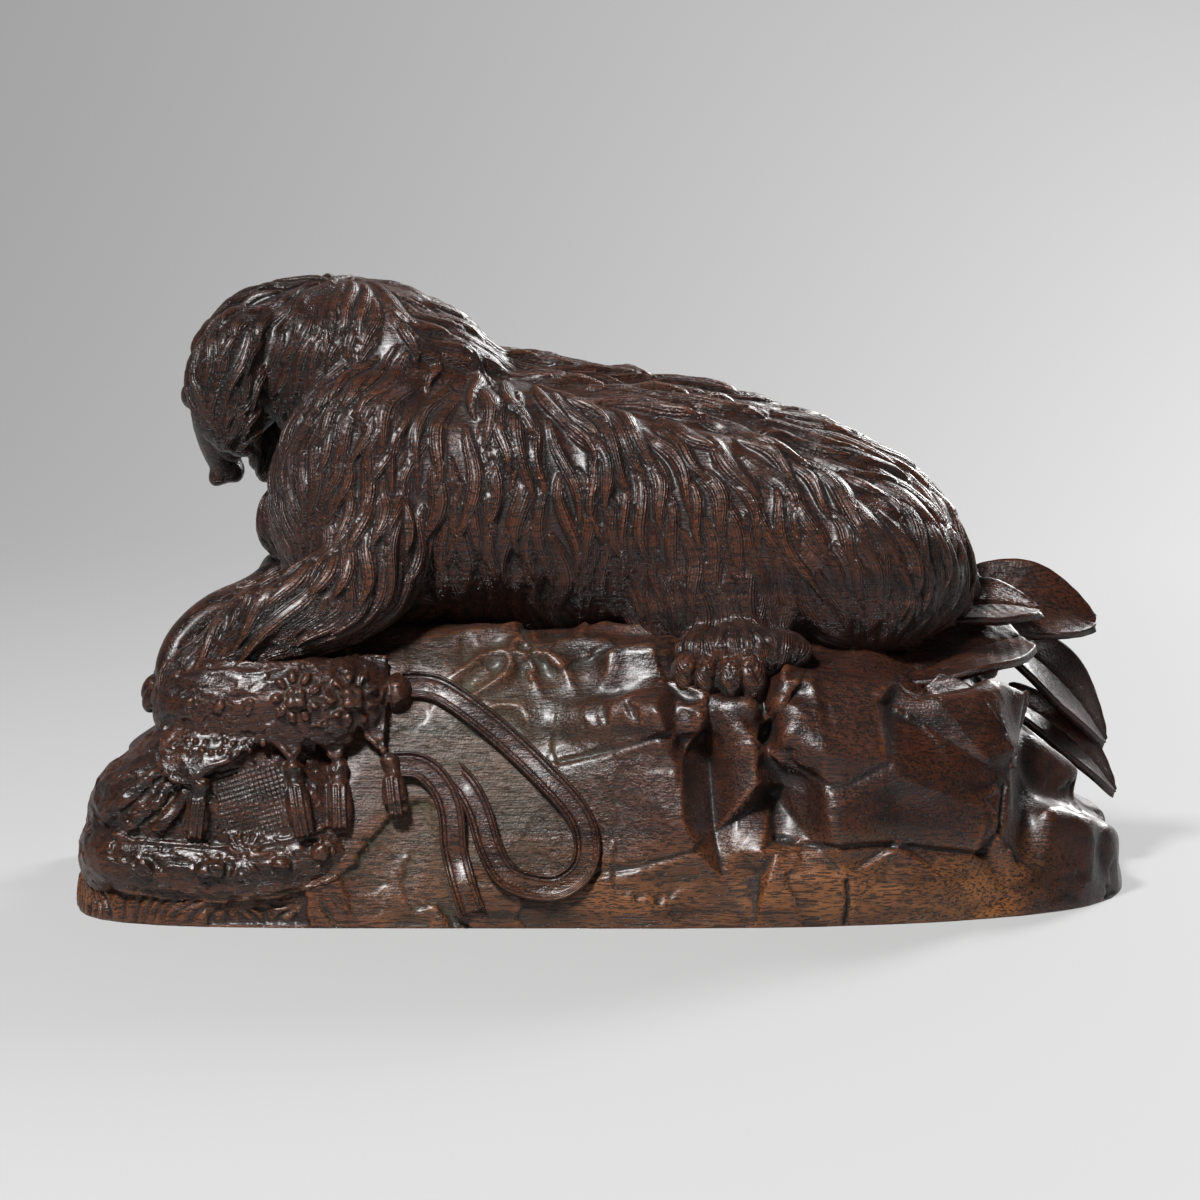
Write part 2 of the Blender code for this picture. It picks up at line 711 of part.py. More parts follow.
def add_flap(bm, body):
    """The flap follows the bag's front, with a lower edge cut into points."""
    edge = np.array(FLAP_EDGE, float)
    columns, rows = 45, 9
    xs = np.linspace(edge[0, 0], edge[-1, 0], columns)
    lows = np.interp(xs, edge[:, 0], edge[:, 1])
    grid = []
    sheet = bmesh.new()
    for x, low in zip(xs, lows):
        line = []
        for j in range(rows):
            z = low + (FLAP_TOP - low) * j / (rows - 1)
            line.append(sheet.verts.new(body.lay(x, z, FLAP_THICKNESS / 2)))
        grid.append(line)
    for left, right in zip(grid, grid[1:]):
        for j in range(rows - 1):
            sheet.faces.new((left[j], right[j], right[j + 1], left[j + 1]))
    obj = object_of(sheet, "flap")
    thick = obj.modifiers.new("thick", "SOLIDIFY")
    thick.thickness = FLAP_THICKNESS
    thick.offset = 0
    join(bm, baked(obj))


def add_tassel(bm, body, top, bottom):
    """A tassel: a knot and a bundle that widens downwards."""
    path = [np.array(top) + (np.array(bottom) - np.array(top)) * t for t in (0, 0.12, 0.25, 0.6, 1)]
    swell = (0.75, 1.0, 0.75, 1.05, 1.0)
    places = [body.lay(x, z, TASSEL_RADIUS * 0.6) for x, z in path]
    add_tube(bm, places, [TASSEL_RADIUS * share for share in swell])


def add_grass(bm):
    """Short upright tufts round the bag's end of the foot."""
    _, middle, half_length, half_depth = MOUND[1]
    rng = random.Random(23)
    for i in range(GRASS_COUNT):
        turn = math.radians(GRASS_FROM + (GRASS_TO - GRASS_FROM) * i / (GRASS_COUNT - 1))
        c, s = math.cos(turn), math.sin(turn)
        reach = outline_reach(c, s)
        x, y = middle + (half_length - 1) * reach * c, (half_depth - 1) * reach * s
        height = GRASS_HEIGHT * rng.uniform(0.85, 1.15)
        points = [at(x, y, -2), at(x, y, height / 2), at(x * 0.985, y * 0.96, height)]
        add_tube(bm, points, [GRASS_RADIUS * SHARE] * 2 + [GRASS_RADIUS * SHARE * 0.6])


def carve():
    """Everything joined into one block, with the number of faces that the solid keeps."""
    ground = make_ground()
    slope = Slope(ground)
    bm = make_dog()
    join(bm, ground)
    join(bm, make_bag())
    for route in (STRAP_LOOP, STRAP_END):
        add_strap(bm, slope, route)
    for leaf in LEAVES:
        add_leaf(bm, *leaf)
    add_grass(bm)
    bm = remeshed(bm, VOXEL, 1)
    keep_outer_skin(bm)
    return level_foot(simplified(bm))


def keep_outer_skin(bm):
    """Deletes every loose island but the largest, such as the walls of sealed gaps."""
    bm.verts.ensure_lookup_table()
    seen = set()
    islands = []
    for seed in bm.verts:
        if seed in seen:
            continue
        island, front = [], [seed]
        seen.add(seed)
        while front:
            vert = front.pop()
            island.append(vert)
            for edge in vert.link_edges:
                other = edge.other_vert(vert)
                if other not in seen:
                    seen.add(other)
                    front.append(other)
        islands.append(island)
    islands.sort(key=len)
    for island in islands[:-1]:
        bmesh.ops.delete(bm, geom=island, context="VERTS")


def simplified(bm):
    """Fewer faces, most of them left where the carving turns sharply."""
    bmesh.ops.triangulate(bm, faces=bm.faces)
    share = TRIANGLES / len(bm.faces)
    obj = object_of(bm, "fine")
    fewer = obj.modifiers.new("fewer", "DECIMATE")
    fewer.ratio = share
    return baked(obj)


def level_foot(bm):
    """Saws the block off level, so that it stands flat on the ground at z = 0."""
    everything = bm.verts[:] + bm.edges[:] + bm.faces[:]
    sawn = bmesh.ops.bisect_plane(
        bm, geom=everything, plane_co=(0, 0, FOOT_TRIM), plane_no=(0, 0, 1), clear_inner=True
    )
    edges = [e for e in sawn["geom_cut"] if isinstance(e, bmesh.types.BMEdge)]
    bmesh.ops.edgeloop_fill(bm, edges=edges)
    bmesh.ops.triangulate(bm, faces=[f for f in bm.faces if len(f.verts) > 3])
    bmesh.ops.recalc_face_normals(bm, faces=bm.faces)
    low = Vector([min(v.co[k] for v in bm.verts) for k in range(3)])
    high = Vector([max(v.co[k] for v in bm.verts) for k in range(3)])
    middle = (low + high) / 2
    bmesh.ops.translate(bm, verts=bm.verts, vec=(-middle.x, -middle.y, -low.z))
    return bm


def walnut():
    material = bpy.data.materials.new("walnut")
    material.use_nodes = True
    shader = material.node_tree.nodes["Principled BSDF"]
    shader.inputs["Base Color"].default_value = (0.062, 0.026, 0.016, 1)
    shader.inputs["Roughness"].default_value = 0.38
    shader.inputs["Metallic"].default_value = 0
    return material


def main():
    for obj in list(bpy.data.objects):
        bpy.data.objects.remove(obj)
    dog = object_of(carve(), "carved_dog")
    bpy.context.scene.collection.objects.unlink(dog)
    collection = bpy.data.collections.new("carved wooden dog")
    bpy.context.scene.collection.children.link(collection)
    collection.objects.link(dog)
    dog.data.materials.append(walnut())
    dog.data.shade_smooth()
    dog.data.set_sharp_from_angle(angle=math.radians(40))


main()
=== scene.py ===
"""The finish of a carved walnut dog: hair in locks, a game bag, rock and leaves, all in one wood.

The solid gives the place and the size. The same tables as in the solid lay out the forms again at
a finer grain, and the hair, the chisel marks and the bag's ornaments are carved into them here.
Lengths are in mm until a piece is finished, and the tables' coordinates are x, y, z in mm.
"""

import math
import random

import bmesh
import bpy
import numpy as np
from mathutils import Euler, Matrix, Vector
from mathutils.bvhtree import BVHTree
from mathutils.geometry import delaunay_2d_cdt
from mathutils.kdtree import KDTree


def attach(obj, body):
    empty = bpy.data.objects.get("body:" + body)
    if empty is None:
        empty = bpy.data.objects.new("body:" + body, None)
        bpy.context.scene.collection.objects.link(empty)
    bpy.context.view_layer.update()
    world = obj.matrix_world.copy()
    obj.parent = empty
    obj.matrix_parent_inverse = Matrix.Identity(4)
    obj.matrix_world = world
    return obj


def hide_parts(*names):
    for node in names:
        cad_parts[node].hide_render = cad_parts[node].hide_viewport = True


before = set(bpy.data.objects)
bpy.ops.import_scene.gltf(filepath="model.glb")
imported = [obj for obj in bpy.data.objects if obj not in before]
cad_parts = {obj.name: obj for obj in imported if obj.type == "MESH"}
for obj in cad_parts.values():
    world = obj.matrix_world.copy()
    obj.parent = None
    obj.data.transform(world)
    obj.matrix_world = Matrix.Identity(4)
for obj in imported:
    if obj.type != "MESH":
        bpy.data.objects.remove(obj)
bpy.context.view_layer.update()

MM = 0.001
NODE, BODY, SLOT = "carved_dog", "root", "walnut"

# Where the solid's origin lies in the tables' frame.
ORIGIN = Vector((0.64, -1.93, 0.8))

# The grid that each piece is worked on.
SOFT_GRID = 2.0
TRUNK_GRID = 0.60
BAG_GRID = 0.45
ROCK_GRID = 0.80

# Sizes of the made things that the carver copied.
STRAP_WIDTH = 8.2
STRAP_THICKNESS = 3.0
STRAP_RIM = 1.3
LEAF_THICKNESS = 2.6
FLAP_THICKNESS = 5.0
TASSEL_RADIUS = 3.3
LOG_RADIUS = 7.8
GATHER_RADIUS = 2.6

# The dog's forms as stations: x, y, z of the middle, then half the width and half the height.
TRUNK = [
    (-97, -2, 119, 14, 16),
    (-92, -2, 120, 27, 28),
    (-84, -1, 122, 36, 37),
    (-69, 0, 124, 40, 42),
    (-45, 1, 125, 42, 43),
    (-18, 2, 122, 42, 42),
    (12, 2, 118, 42, 42),
    (42, 1, 114, 43, 41),
    (69, 1, 109, 43, 38),
    (89, 2, 103, 39, 33),
    (102, 3, 99, 31, 26),
    (111, 4, 96, 20, 17),
    (115, 5, 95, 8, 8),
]

NECK = [
    (-43, 8, 146, 28, 24),
    (-60, 8, 158, 30, 29),
    (-80, 8, 166, 29, 29),
    (-98, 8, 168, 26, 26),
    (-112, 9, 165, 21, 22),
    (-118, 10, 158, 17, 15),
]

MUZZLE = [
    (-118, 11, 160, 13.5, 14),
    (-122.5, 13, 152, 11, 11),
    (-123.3, 14, 144, 9, 8.4),
    (-122.8, 15, 137, 7.2, 6.2),
    (-122, 15, 131.5, 5, 4),
]

BACK_RIDGE = [
    (-54, 16, 158, 9, 14),
    (-27, 16, 158, 10, 13),
    (3, 16, 153.5, 10, 12),
    (32, 16, 148.5, 10, 12),
    (58, 15, 142, 10, 11),
    (76, 13, 134.5, 9, 9),
    (90, 11, 124, 8, 7),
]

NEAR_FORELEG = [
    (-70, -36, 116, 15, 16),
    (-76, -43, 103, 13, 14),
    (-90, -47, 96, 11, 13),
    (-105, -50, 90, 10, 12),
    (-119, -52, 80, 9, 9.5),
    (-128, -53, 73, 8.5, 8),
    (-132, -53, 64, 8, 6),
]

FAR_FORELEG = [
    (-80, 30, 110, 15, 16),
    (-96, 27, 99, 11, 11),
    (-112, 23, 90, 8.5, 8.5),
    (-126, 18, 85, 8, 7.5),
    (-136, 12, 77, 7, 6.5),
    (-140, 8, 68, 7, 6),
]

TAIL = [
    (106, 8, 96, 11, 11),
    (113, 22, 91, 10, 10),
    (110, 38, 86, 10, 9),
    (96, 50, 82, 10, 9),
    (76, 56, 80, 8.5, 8),
    (58, 56, 80, 5.5, 6),
]

NEAR_EAR = [
    (-109, -8, 181, 6, 7),
    (-115.5, -13, 174, 8, 10.5),
    (-118.5, -15, 164, 8, 11.5),
    (-117.5, -15, 154, 7, 10.5),
    (-114.5, -13, 146, 5, 7),
]

FAR_EAR = [
    (-109, 27, 181, 6, 7),
    (-114, 32, 172, 7, 10),
    (-115, 34, 160, 7, 11),
    (-113, 34, 148, 6, 9),
    (-110, 33, 138, 5, 6),
    (-109.5, 32, 132, 3.5, 4),
]

# Swellings, small forms of the face, and toes: the middle, the radii and the turn in degrees.
SWELLINGS = [
    ((-76, -19, 130), (28, 24, 40), (0, 10, 0)),
    ((-73, 23, 128), (27, 22, 38), (0, 10, 0)),
    ((78, -19, 107), (36, 28, 29), (0, 12, 0)),
    ((76, 24, 104), (36, 24, 28), (0, 12, 0)),
    ((38, -28, 98), (34, 16, 22)),
    ((-58, 20, 174), (11, 9, 11), (0, 20, 0)),
    ((-45, 18, 165), (12, 9, 9), (0, 20, 0)),
    ((44, -46, 82), (22, 10, 8)),
    ((44, 46, 82), (22, 10, 8)),
]

FACE = [
    ((-131, 6, 158), (4.6, 4.6, 5)),
    ((-130, 18, 158), (4.6, 4.6, 5)),
    ((-125, 15, 130.5), (2.8, 4.0, 3.2)),
    ((-119, 15, 133), (3.4, 4.4, 4.6)),
    ((-119, 6.5, 144), (5.5, 3.6, 8)),
    ((-119, 22, 144), (5.5, 3.6, 8)),
]

TOES = [
    ((-145, 3, 60), (3.8, 3.4, 5.6), (0, 25, 0)),
    ((-146, 10, 62), (3.8, 3.4, 5.6), (0, 25, 0)),
    ((-143, 17, 66), (3.6, 3.4, 5.4), (0, 20, 0)),
    ((-142, -3, 62), (3.4, 3.2, 5.2), (0, 20, 0)),
    ((25.5, -54, 76), (3.2, 6, 7.0), (18, 0, 0)),
    ((32.5, -56, 75), (3.6, 6, 7.4), (18, 0, 0)),
    ((39.5, -56, 74), (4.0, 6, 7.4), (18, 0, 0)),
    ((46.5, -54, 74.5), (3.8, 6, 7.4), (18, 0, 0)),
    ((24, 52, 77), (3.6, 6, 7.0), (-18, 0, 0)),
    ((31, 54, 76), (3.8, 6, 7.4), (-18, 0, 0)),
    ((38, 54, 75), (3.8, 6, 7.4), (-18, 0, 0)),
]

# Level sections of the mound: z, the middle's x, half the length and half the depth.
MOUND = [
    (-2, 1, 166.5, 77.5),
    (6, 1, 167, 78),
    (14, 0, 164.5, 76.5),
    (30, -1, 152, 71),
    (50, -2, 139, 63),
    (66, -1, 124, 56),
    (79, 1, 108, 48),
    (88, 3, 90, 36),
]

# The outline's squareness at the bag's end and at the other.
LEFT_SQUARENESS, RIGHT_SQUARENESS = 6, 2.6

# Blocks of rock: the middle, the size and the turn in degrees.
ROCKS = [
    ((91, -50, 9), (76, 34, 30), (-8, 1, 14)),
    ((96, -50, 31), (66, 32, 24), (-20, 4, 15)),
    ((72, -50, 57), (42, 28, 32), (-36, 8, 10)),
    ((106, -42, 52), (42, 30, 28), (-28, -10, 20)),
    ((8, -59, 33), (42, 28, 46), (-15, -17, -2)),
    ((6, -61, 10), (62, 30, 26), (-8, 4, -2)),
    ((42.5, -55, 42), (14, 32, 50), (-16, -3, 4)),
    ((47, -60, 10), (42, 32, 24), (-9, -2, 3)),
    ((18, -52, 62), (34, 20, 16), (-30, -12, -8)),
    ((12, -46, 78), (22, 14, 12), (-10, 0, 0)),
    ((137, -32, 14), (24, 36, 32), (-10, 16, 30)),
    ((148, -14, 12), (26, 40, 28), (-4, 24, 16)),
    ((150, 16, 12), (28, 40, 26), (0, 20, -12)),
    ((133, -14, 36), (26, 32, 22), (-14, 34, 26)),
    ((137, 16, 36), (26, 32, 24), (8, 38, -16)),
    ((121, -32, 58), (20, 26, 24), (-24, 22, 22)),
    ((124, 38, 16), (46, 44, 40), (14, 10, -28)),
    ((116, 34, 44), (36, 40, 30), (22, 24, -26)),
    ((74, 60, 10), (52, 34, 34), (8, -6, -5)),
    ((66, 54, 40), (44, 30, 34), (24, 8, 6)),
    ((92, 44, 60), (40, 26, 26), (34, -8, -12)),
    ((26, 63, 16), (44, 34, 44), (12, 10, 5)),
    ((10, 52, 52), (48, 26, 30), (30, -8, -4)),
    ((-22, 63, 10), (50, 34, 30), (6, -5, -4)),
    ((-36, 56, 40), (42, 30, 32), (22, 10, 6)),
    ((-66, 60, 18), (42, 36, 44), (12, -8, 4)),
    ((-88, 48, 52), (46, 28, 30), (30, 6, -6)),
    ((-108, 60, 10), (54, 34, 32), (8, 6, 5)),
    ((-122, 48, 34), (36, 34, 30), (20, -18, 22)),
    ((-144, 30, 10), (36, 56, 30), (4, -12, 8)),
    ((-142, 8, 12), (32, 44, 26), (-4, -20, -8)),
    ((-134, 26, 34), (34, 42, 28), (8, -32, 10)),
]

# Places along the log, each with its share of LOG_RADIUS.
LOG = [((-20, -54, 57), 0.8), ((0, -58, 62), 0.95), ((20.5, -66, 66.5), 1.0)]

# Leaves: the root, the tip, the way the leaf faces, and half its width.
LEAVES = [
    ((116, 16, 92), (161.5, 22, 82), (0.35, -0.75, 0.6), 12.5),
    ((110, -8, 90), (141, -2, 89), (0.1, -0.5, 1.0), 10),
    ((134, -8, 82), (94, -34, 71), (-0.25, -0.7, 0.75), 12),
    ((101, -42, 70), (127, -50, 45), (0.2, -1.0, 0.4), 10),
    ((130, 14, 80), (165.5, 26, 42), (0.75, -0.5, 0.4), 11),
    ((132, 10, 60), (168.5, 22, 26), (0.75, -0.5, 0.45), 8.5),
    ((122, 30, 88), (150, 46, 64), (0.6, 0.35, 0.7), 11.5),
    ((110, 38, 86), (130, 64, 58), (0.3, 0.7, 0.6), 11.5),
    ((98, 42, 82), (94, 66, 54), (-0.1, 0.85, 0.5), 11),
]

BAG_BODY = [
    ((-112, -50, 38), (39, 24, 29), (-16, 0, 0)),
    ((-98, -53, 30), (26, 22, 24), (-12, 0, 0)),
    ((-134, -47, 30), (27, 26, 24), (-8, 10, 0)),
    ((-149, -46, 20), (15, 24, 17), (0, 8, 0)),
    ((-102, -50, 66), (36, 18, 17), (-18, 0, 0)),
    ((-63.5, -52, 70), (4.6, 9, 6.5)),
]

BAG_ROLL = [
    (-156, -50, 22, 7.5, 9),
    (-150.5, -63, 20, 8.5, 9.5),
    (-132, -69, 18, 9, 10),
    (-112, -70.5, 17.5, 9, 10),
    (-94, -69.5, 20, 9, 10),
    (-81, -65, 25, 8, 9.5),
    (-76.5, -59, 34, 7, 8.5),
    (-75, -54, 47, 6.5, 8),
]

# The flap's lower edge as x and z, and the height of its upper edge.
FLAP_EDGE = [
    (-135, 47), (-127.5, 45), (-120, 49), (-115, 51), (-110.3, 54), (-104.7, 57.5), (-99.8, 56),
    (-95, 51.5), (-92, 59.5), (-86.5, 57), (-81.8, 50.5), (-76.3, 63), (-72.3, 57), (-66.7, 52.3),
]

FLAP_TOP = 79

# Gathers at the bag's mouth, and tassels from top to bottom, as x and z.
GATHERS = [
    [(-135, 49), (-143.6, 42), (-153, 33)],
    [(-130, 47), (-137, 39), (-146, 31)],
    [(-125, 46), (-129.7, 39), (-137, 30)],
]

TASSELS = [
    ((-95.4, 51), (-91.5, 29)),
    ((-81.2, 50), (-80.3, 30)),
    ((-65.5, 52), (-63, 33)),
    ((-122.6, 46), (-125, 27)),
]

# The two runs of the strap over the rock, as x and z.
STRAP_LOOP = [
    (-62, 72), (-55.6, 72), (-48.8, 70.5), (-38.3, 63.7), (-27.8, 55.3), (-17.2, 46), (-8.3, 36.9),
    (-4.6, 28.5), (-5.5, 19), (-13.2, 13), (-21.6, 13.5), (-29.9, 17), (-34.9, 26), (-37.6, 35),
    (-42, 43), (-47, 48),
]

STRAP_END = [
    (-64, 49), (-55.5, 48.5), (-48.8, 42), (-46, 33.5), (-45.4, 24), (-42.6, 14), (-39.8, 6),
]


ROUND_SIDES = 28


def smooth_path(points, steps):
    """Points on a Catmull-Rom curve through the given ones."""
    rows = np.array(points, float)
    padded = np.vstack([2 * rows[0] - rows[1], rows, 2 * rows[-1] - rows[-2]])
    path = []
    for i in range(len(rows) - 1):
        a, b, c, d = padded[i : i + 4]
        for t in np.arange(steps) / steps:
            line = 2 * b + (c - a) * t
            bend = (2 * a - 5 * b + 4 * c - d) * t**2
            twist = (3 * b - a - 3 * c + d) * t**3
            path.append(0.5 * (line + bend + twist))
    return np.array([*path, rows[-1]])


def smoothstep(low, high, x):
    """0 below low, 1 above high, and eased between."""
    t = np.clip((np.asarray(x, float) - low) / (high - low), 0, 1)
    return t * t * (3 - 2 * t)


def fade(low, high, x):
    """1 below low, 0 above high, and eased between."""
    return 1 - smoothstep(low, high, x)


def round_angles(sides):
    return [2 * math.pi * k / sides for k in range(sides)]


def linked(name, data):
    """A new object in the scene."""
    obj = bpy.data.objects.new(name, data)
    bpy.context.scene.collection.objects.link(obj)
    return obj


def mesh_from(bm, name):
    mesh = bpy.data.meshes.new(name)
    bm.to_mesh(mesh)
    bm.free()
    return mesh


def add_mesh(bm, mesh):
    bm.from_mesh(mesh)
    bpy.data.meshes.remove(mesh)


def bmesh_of(mesh):
    bm = bmesh.new()
    add_mesh(bm, mesh)
    return bm


def baked(obj):
    """The object's mesh with its modifiers applied. The object is removed."""
    bpy.context.view_layer.update()
    graph = bpy.context.evaluated_depsgraph_get()
    mesh = bpy.data.meshes.new_from_object(obj.evaluated_get(graph))
    old = obj.data
    bpy.data.objects.remove(obj)
    bpy.data.meshes.remove(old)
    return mesh


def remeshed(bm, grid_size, smoothing):
    """The joined outer skin of everything in bm, on an even grid, as a mesh."""
    obj = linked("rough", mesh_from(bm, "rough"))
    grid = obj.modifiers.new("grid", "REMESH")
    grid.mode = "VOXEL"
    grid.voxel_size = grid_size
    if smoothing:
        soften = obj.modifiers.new("soften", "SMOOTH")
        soften.factor = 0.5
        soften.iterations = smoothing
    return baked(obj)


def loft(bm, rings):
    """A closed skin over rings of points, with a flat cap at each end."""
    made = [[bm.verts.new(p) for p in ring] for ring in rings]
    count = len(made[0])
    for low, high in zip(made, made[1:]):
        for i in range(count):
            j = (i + 1) % count
            bm.faces.new((low[i], low[j], high[j], high[i]))
    bm.faces.new(made[0][::-1])
    bm.faces.new(made[-1])


def placed(middle, size, degrees):
    turn = Euler([math.radians(a) for a in degrees])
    return Matrix.LocRotScale(Vector(middle), turn, Vector(size))


def add_ball(bm, middle, radii, degrees=(0, 0, 0), fineness=3):
    """An ellipsoid."""
    place = placed(middle, radii, degrees)
    bmesh.ops.create_icosphere(bm, subdivisions=fineness, radius=1, matrix=place)


def add_block(bm, middle, size, degrees):
    bmesh.ops.create_cube(bm, size=1, matrix=placed(middle, size, degrees))


def add_form(bm, stations):
    """A limb or a trunk: round sections strung along a path, with rounded ends.

    A station is x, y, z of the middle, then half the width across and half the height.
    """
    rows = smooth_path(stations, 5)
    rings = []
    for i, (*middle, half_width, half_height) in enumerate(rows):
        low = min(i, len(rows) - 2)
        along = Vector(rows[low + 1][:3] - rows[low][:3]).normalized()
        across = (Vector((0, 1, 0)) - along * along.y).normalized()
        up = along.cross(across)
        ring = []
        for a in round_angles(ROUND_SIDES):
            offset = across * (math.sin(a) * half_width)
            ring.append(Vector(middle) + offset + up * (math.cos(a) * half_height))
        rings.append(ring)
    loft(bm, rings)
    for *middle, half_width, half_height in (rows[0], rows[-1]):
        radius = min(half_width, half_height)
        add_ball(bm, middle, (radius, half_width, radius))


def add_tube(bm, points, radii, sides=10):
    """A round tube through points, with a flat cap at each end."""
    points = [Vector(p) for p in points]
    rings = []
    for i, (point, radius) in enumerate(zip(points, radii)):
        along = (points[min(i + 1, len(points) - 1)] - points[max(i - 1, 0)]).normalized()
        side = along.cross(Vector((0, 0, 1)))
        if side.length < 0.1:
            side = along.cross(Vector((1, 0, 0)))
        side.normalize()
        other = side.cross(along)
        ring = [point + (side * math.cos(a) + other * math.sin(a)) * radius for a in round_angles(sides)]
        rings.append(ring)
    loft(bm, rings)


def column(items, field, width=1, kind=np.float32):
    """One field of every item, with width numbers to a row."""
    found = np.empty(len(items) * width, kind)
    items.foreach_get(field, found)
    return found.reshape(-1, width) if width > 1 else found


class Skin:
    """A dense closed mesh as arrays, for carving. Its marks are numbers that the material reads."""

    def __init__(self, mesh):
        self.points = column(mesh.vertices, "co", 3, float)
        self.corners = column(mesh.loops, "vertex_index", 1, np.int32)
        self.starts = column(mesh.polygons, "loop_start", 1, np.int32)
        ends = column(mesh.edges, "vertices", 2, np.int32)
        spans = np.linalg.norm(self.points[ends[:, 0]] - self.points[ends[:, 1]], axis=1)
        # Long edges only fill the flat sawn face.
        self.ends = ends[spans < 4 * np.median(spans)]
        self.mesh = mesh
        self.marks = {}
        self.keep_largest()

    def keep_largest(self):
        """Drops every loose island but the largest, such as the walls of sealed gaps."""
        label = np.arange(len(self.points))
        a, b = self.ends.T
        while True:
            low = np.minimum(label[a], label[b])
            fresh = label.copy()
            np.minimum.at(fresh, a, low)
            np.minimum.at(fresh, b, low)
            fresh = fresh[fresh]
            if (fresh == label).all():
                break
            label = fresh
        names, sizes = np.unique(label, return_counts=True)
        if len(names) > 1:
            bm = bmesh_of(self.mesh)
            bm.verts.ensure_lookup_table()
            lost = np.flatnonzero(label != names[np.argmax(sizes)])
            bmesh.ops.delete(bm, geom=[bm.verts[i] for i in lost], context="VERTS")
            self.__init__(mesh_from(bm, "skin"))

    def carved_mesh(self):
        """The mesh with its points where they are now."""
        self.mesh.vertices.foreach_set("co", self.points.ravel())
        self.mesh.update()
        return self.mesh

    def normals(self):
        return column(self.carved_mesh().vertex_normals, "vector", 3).astype(float)

    def tree(self):
        bm = bmesh.new()
        bm.from_mesh(self.carved_mesh())
        found = BVHTree.FromBMesh(bm)
        bm.free()
        return found

    def averaged(self, values, rounds):
        """Values spread to their neighbours, rounds times."""
        a, b = self.ends.T
        count = len(self.points)
        degree = np.bincount(a, minlength=count) + np.bincount(b, minlength=count)
        flat = values.reshape(count, -1)
        for _ in range(rounds):
            total = np.empty_like(flat)
            for k in range(flat.shape[1]):
                total[:, k] = np.bincount(a, flat[b, k], count) + np.bincount(b, flat[a, k], count)
            flat = 0.5 * flat + 0.5 * total / degree[:, None]
        return flat.reshape(values.shape)

    def soften(self, rounds):
        self.points = self.averaged(self.points, rounds)

    def raise_by(self, heights):
        """Moves each point along its normal."""
        self.points = self.points + self.normals() * heights[:, None]

    def relief(self, rounds):
        """How far each point stands above its surroundings."""
        return ((self.points - self.averaged(self.points, rounds)) * self.normals()).sum(axis=1)


class Noise:
    """Smooth value noise in space, between -1 and 1, seeded."""

    SIZE = 64

    def __init__(self, seed):
        self.values = np.random.default_rng(seed).uniform(-1, 1, (self.SIZE,) * 3)

    def __call__(self, points):
        low = np.floor(points).astype(int)
        part = points - low
        part = part * part * (3 - 2 * part)
        total = 0
        for corner in np.ndindex(2, 2, 2):
            weight = 1
            for k, d in enumerate(corner):
                weight = weight * (part[:, k] if d else 1 - part[:, k])
            i, j, l = ((low + corner) % self.SIZE).T
            total = total + weight * self.values[i, j, l]
        return total


# Which way the hair lies, in side view: x, z, then the way it runs.
LIE = [
    (-124, 182, -0.50, -0.85), (-118, 169, -0.10, -1.0), (-120, 150, -0.05, -1.0),
    (-110, 192, -0.80, -0.60), (-96, 189, -0.60, -0.80), (-80, 194, 0.10, -1.0), (-87, 176, -0.45, -0.90),
    (-74, 179, -0.30, -0.95), (-66, 189, 0.60, -0.80), (-58, 182, 0.70, -0.70),
    (-71, 166, -0.80, -0.60), (-61, 171, -0.70, -0.70), (-82, 160, -0.75, -0.66),
    (-93, 150, -0.60, -0.80), (-101, 138, -0.35, -0.94), (-68, 154, -0.30, -0.95),
    (-80, 135, -0.25, -0.97), (-93, 122, -0.15, -0.99), (-74, 109, -0.20, -1.0),
    (-93, 100, -0.60, -0.80), (-109, 90, -0.80, -0.60), (-125, 80, -0.75, -0.70),
    (-61, 128, -0.12, -1.0), (-49, 163, -0.30, -0.95), (-33, 160, 0.10, -1.0),
    (-17, 158, 0.50, -0.87), (2, 154, 0.70, -0.70), (33, 147, 0.78, -0.62),
    (65, 144, 0.82, -0.57), (87, 135, 0.80, -0.60), (-30, 135, -0.05, -1.0),
    (-11, 131, 0.12, -1.0), (8, 128, 0.20, -0.98), (33, 122, 0.28, -0.96),
    (58, 119, 0.35, -0.94), (84, 115, 0.50, -0.87), (103, 122, 0.65, -0.76),
    (114, 109, 0.40, -0.90), (-30, 100, 0.0, -1.0), (2, 96, 0.0, -1.0), (33, 93, 0.10, -1.0),
    (65, 90, 0.10, -1.0), (96, 93, 0.15, -1.0),
]
LIE_REACH = 7.0

# The parting along the near side of the back, as x and z. Above it the hair runs back along the
# ridge, and on the tail it runs towards the tip.
PARTING = [
    (-60, 172), (-46, 169), (-20, 163), (1, 157.5), (28, 152), (48, 148.5), (66, 143), (82, 135),
    (96, 126),
]
RIDGE_FAR, RIDGE_LIE = 27.0, (0.93, 0.30, -0.26)
TAIL_NEAR, TAIL_TOP, TAIL_START, TAIL_LIE = 33.0, 95.0, 53.0, (-0.98, 0.1, -0.1)


def above_parting(points):
    """How far each point lies above the parting, and 1 along its length fading to 0 past its ends."""
    x, y, z = points.T
    path = np.array(PARTING, float)
    return z - np.interp(x, path[:, 0], path[:, 1]), smoothstep(-62, -52, x) * fade(88, 98, x)


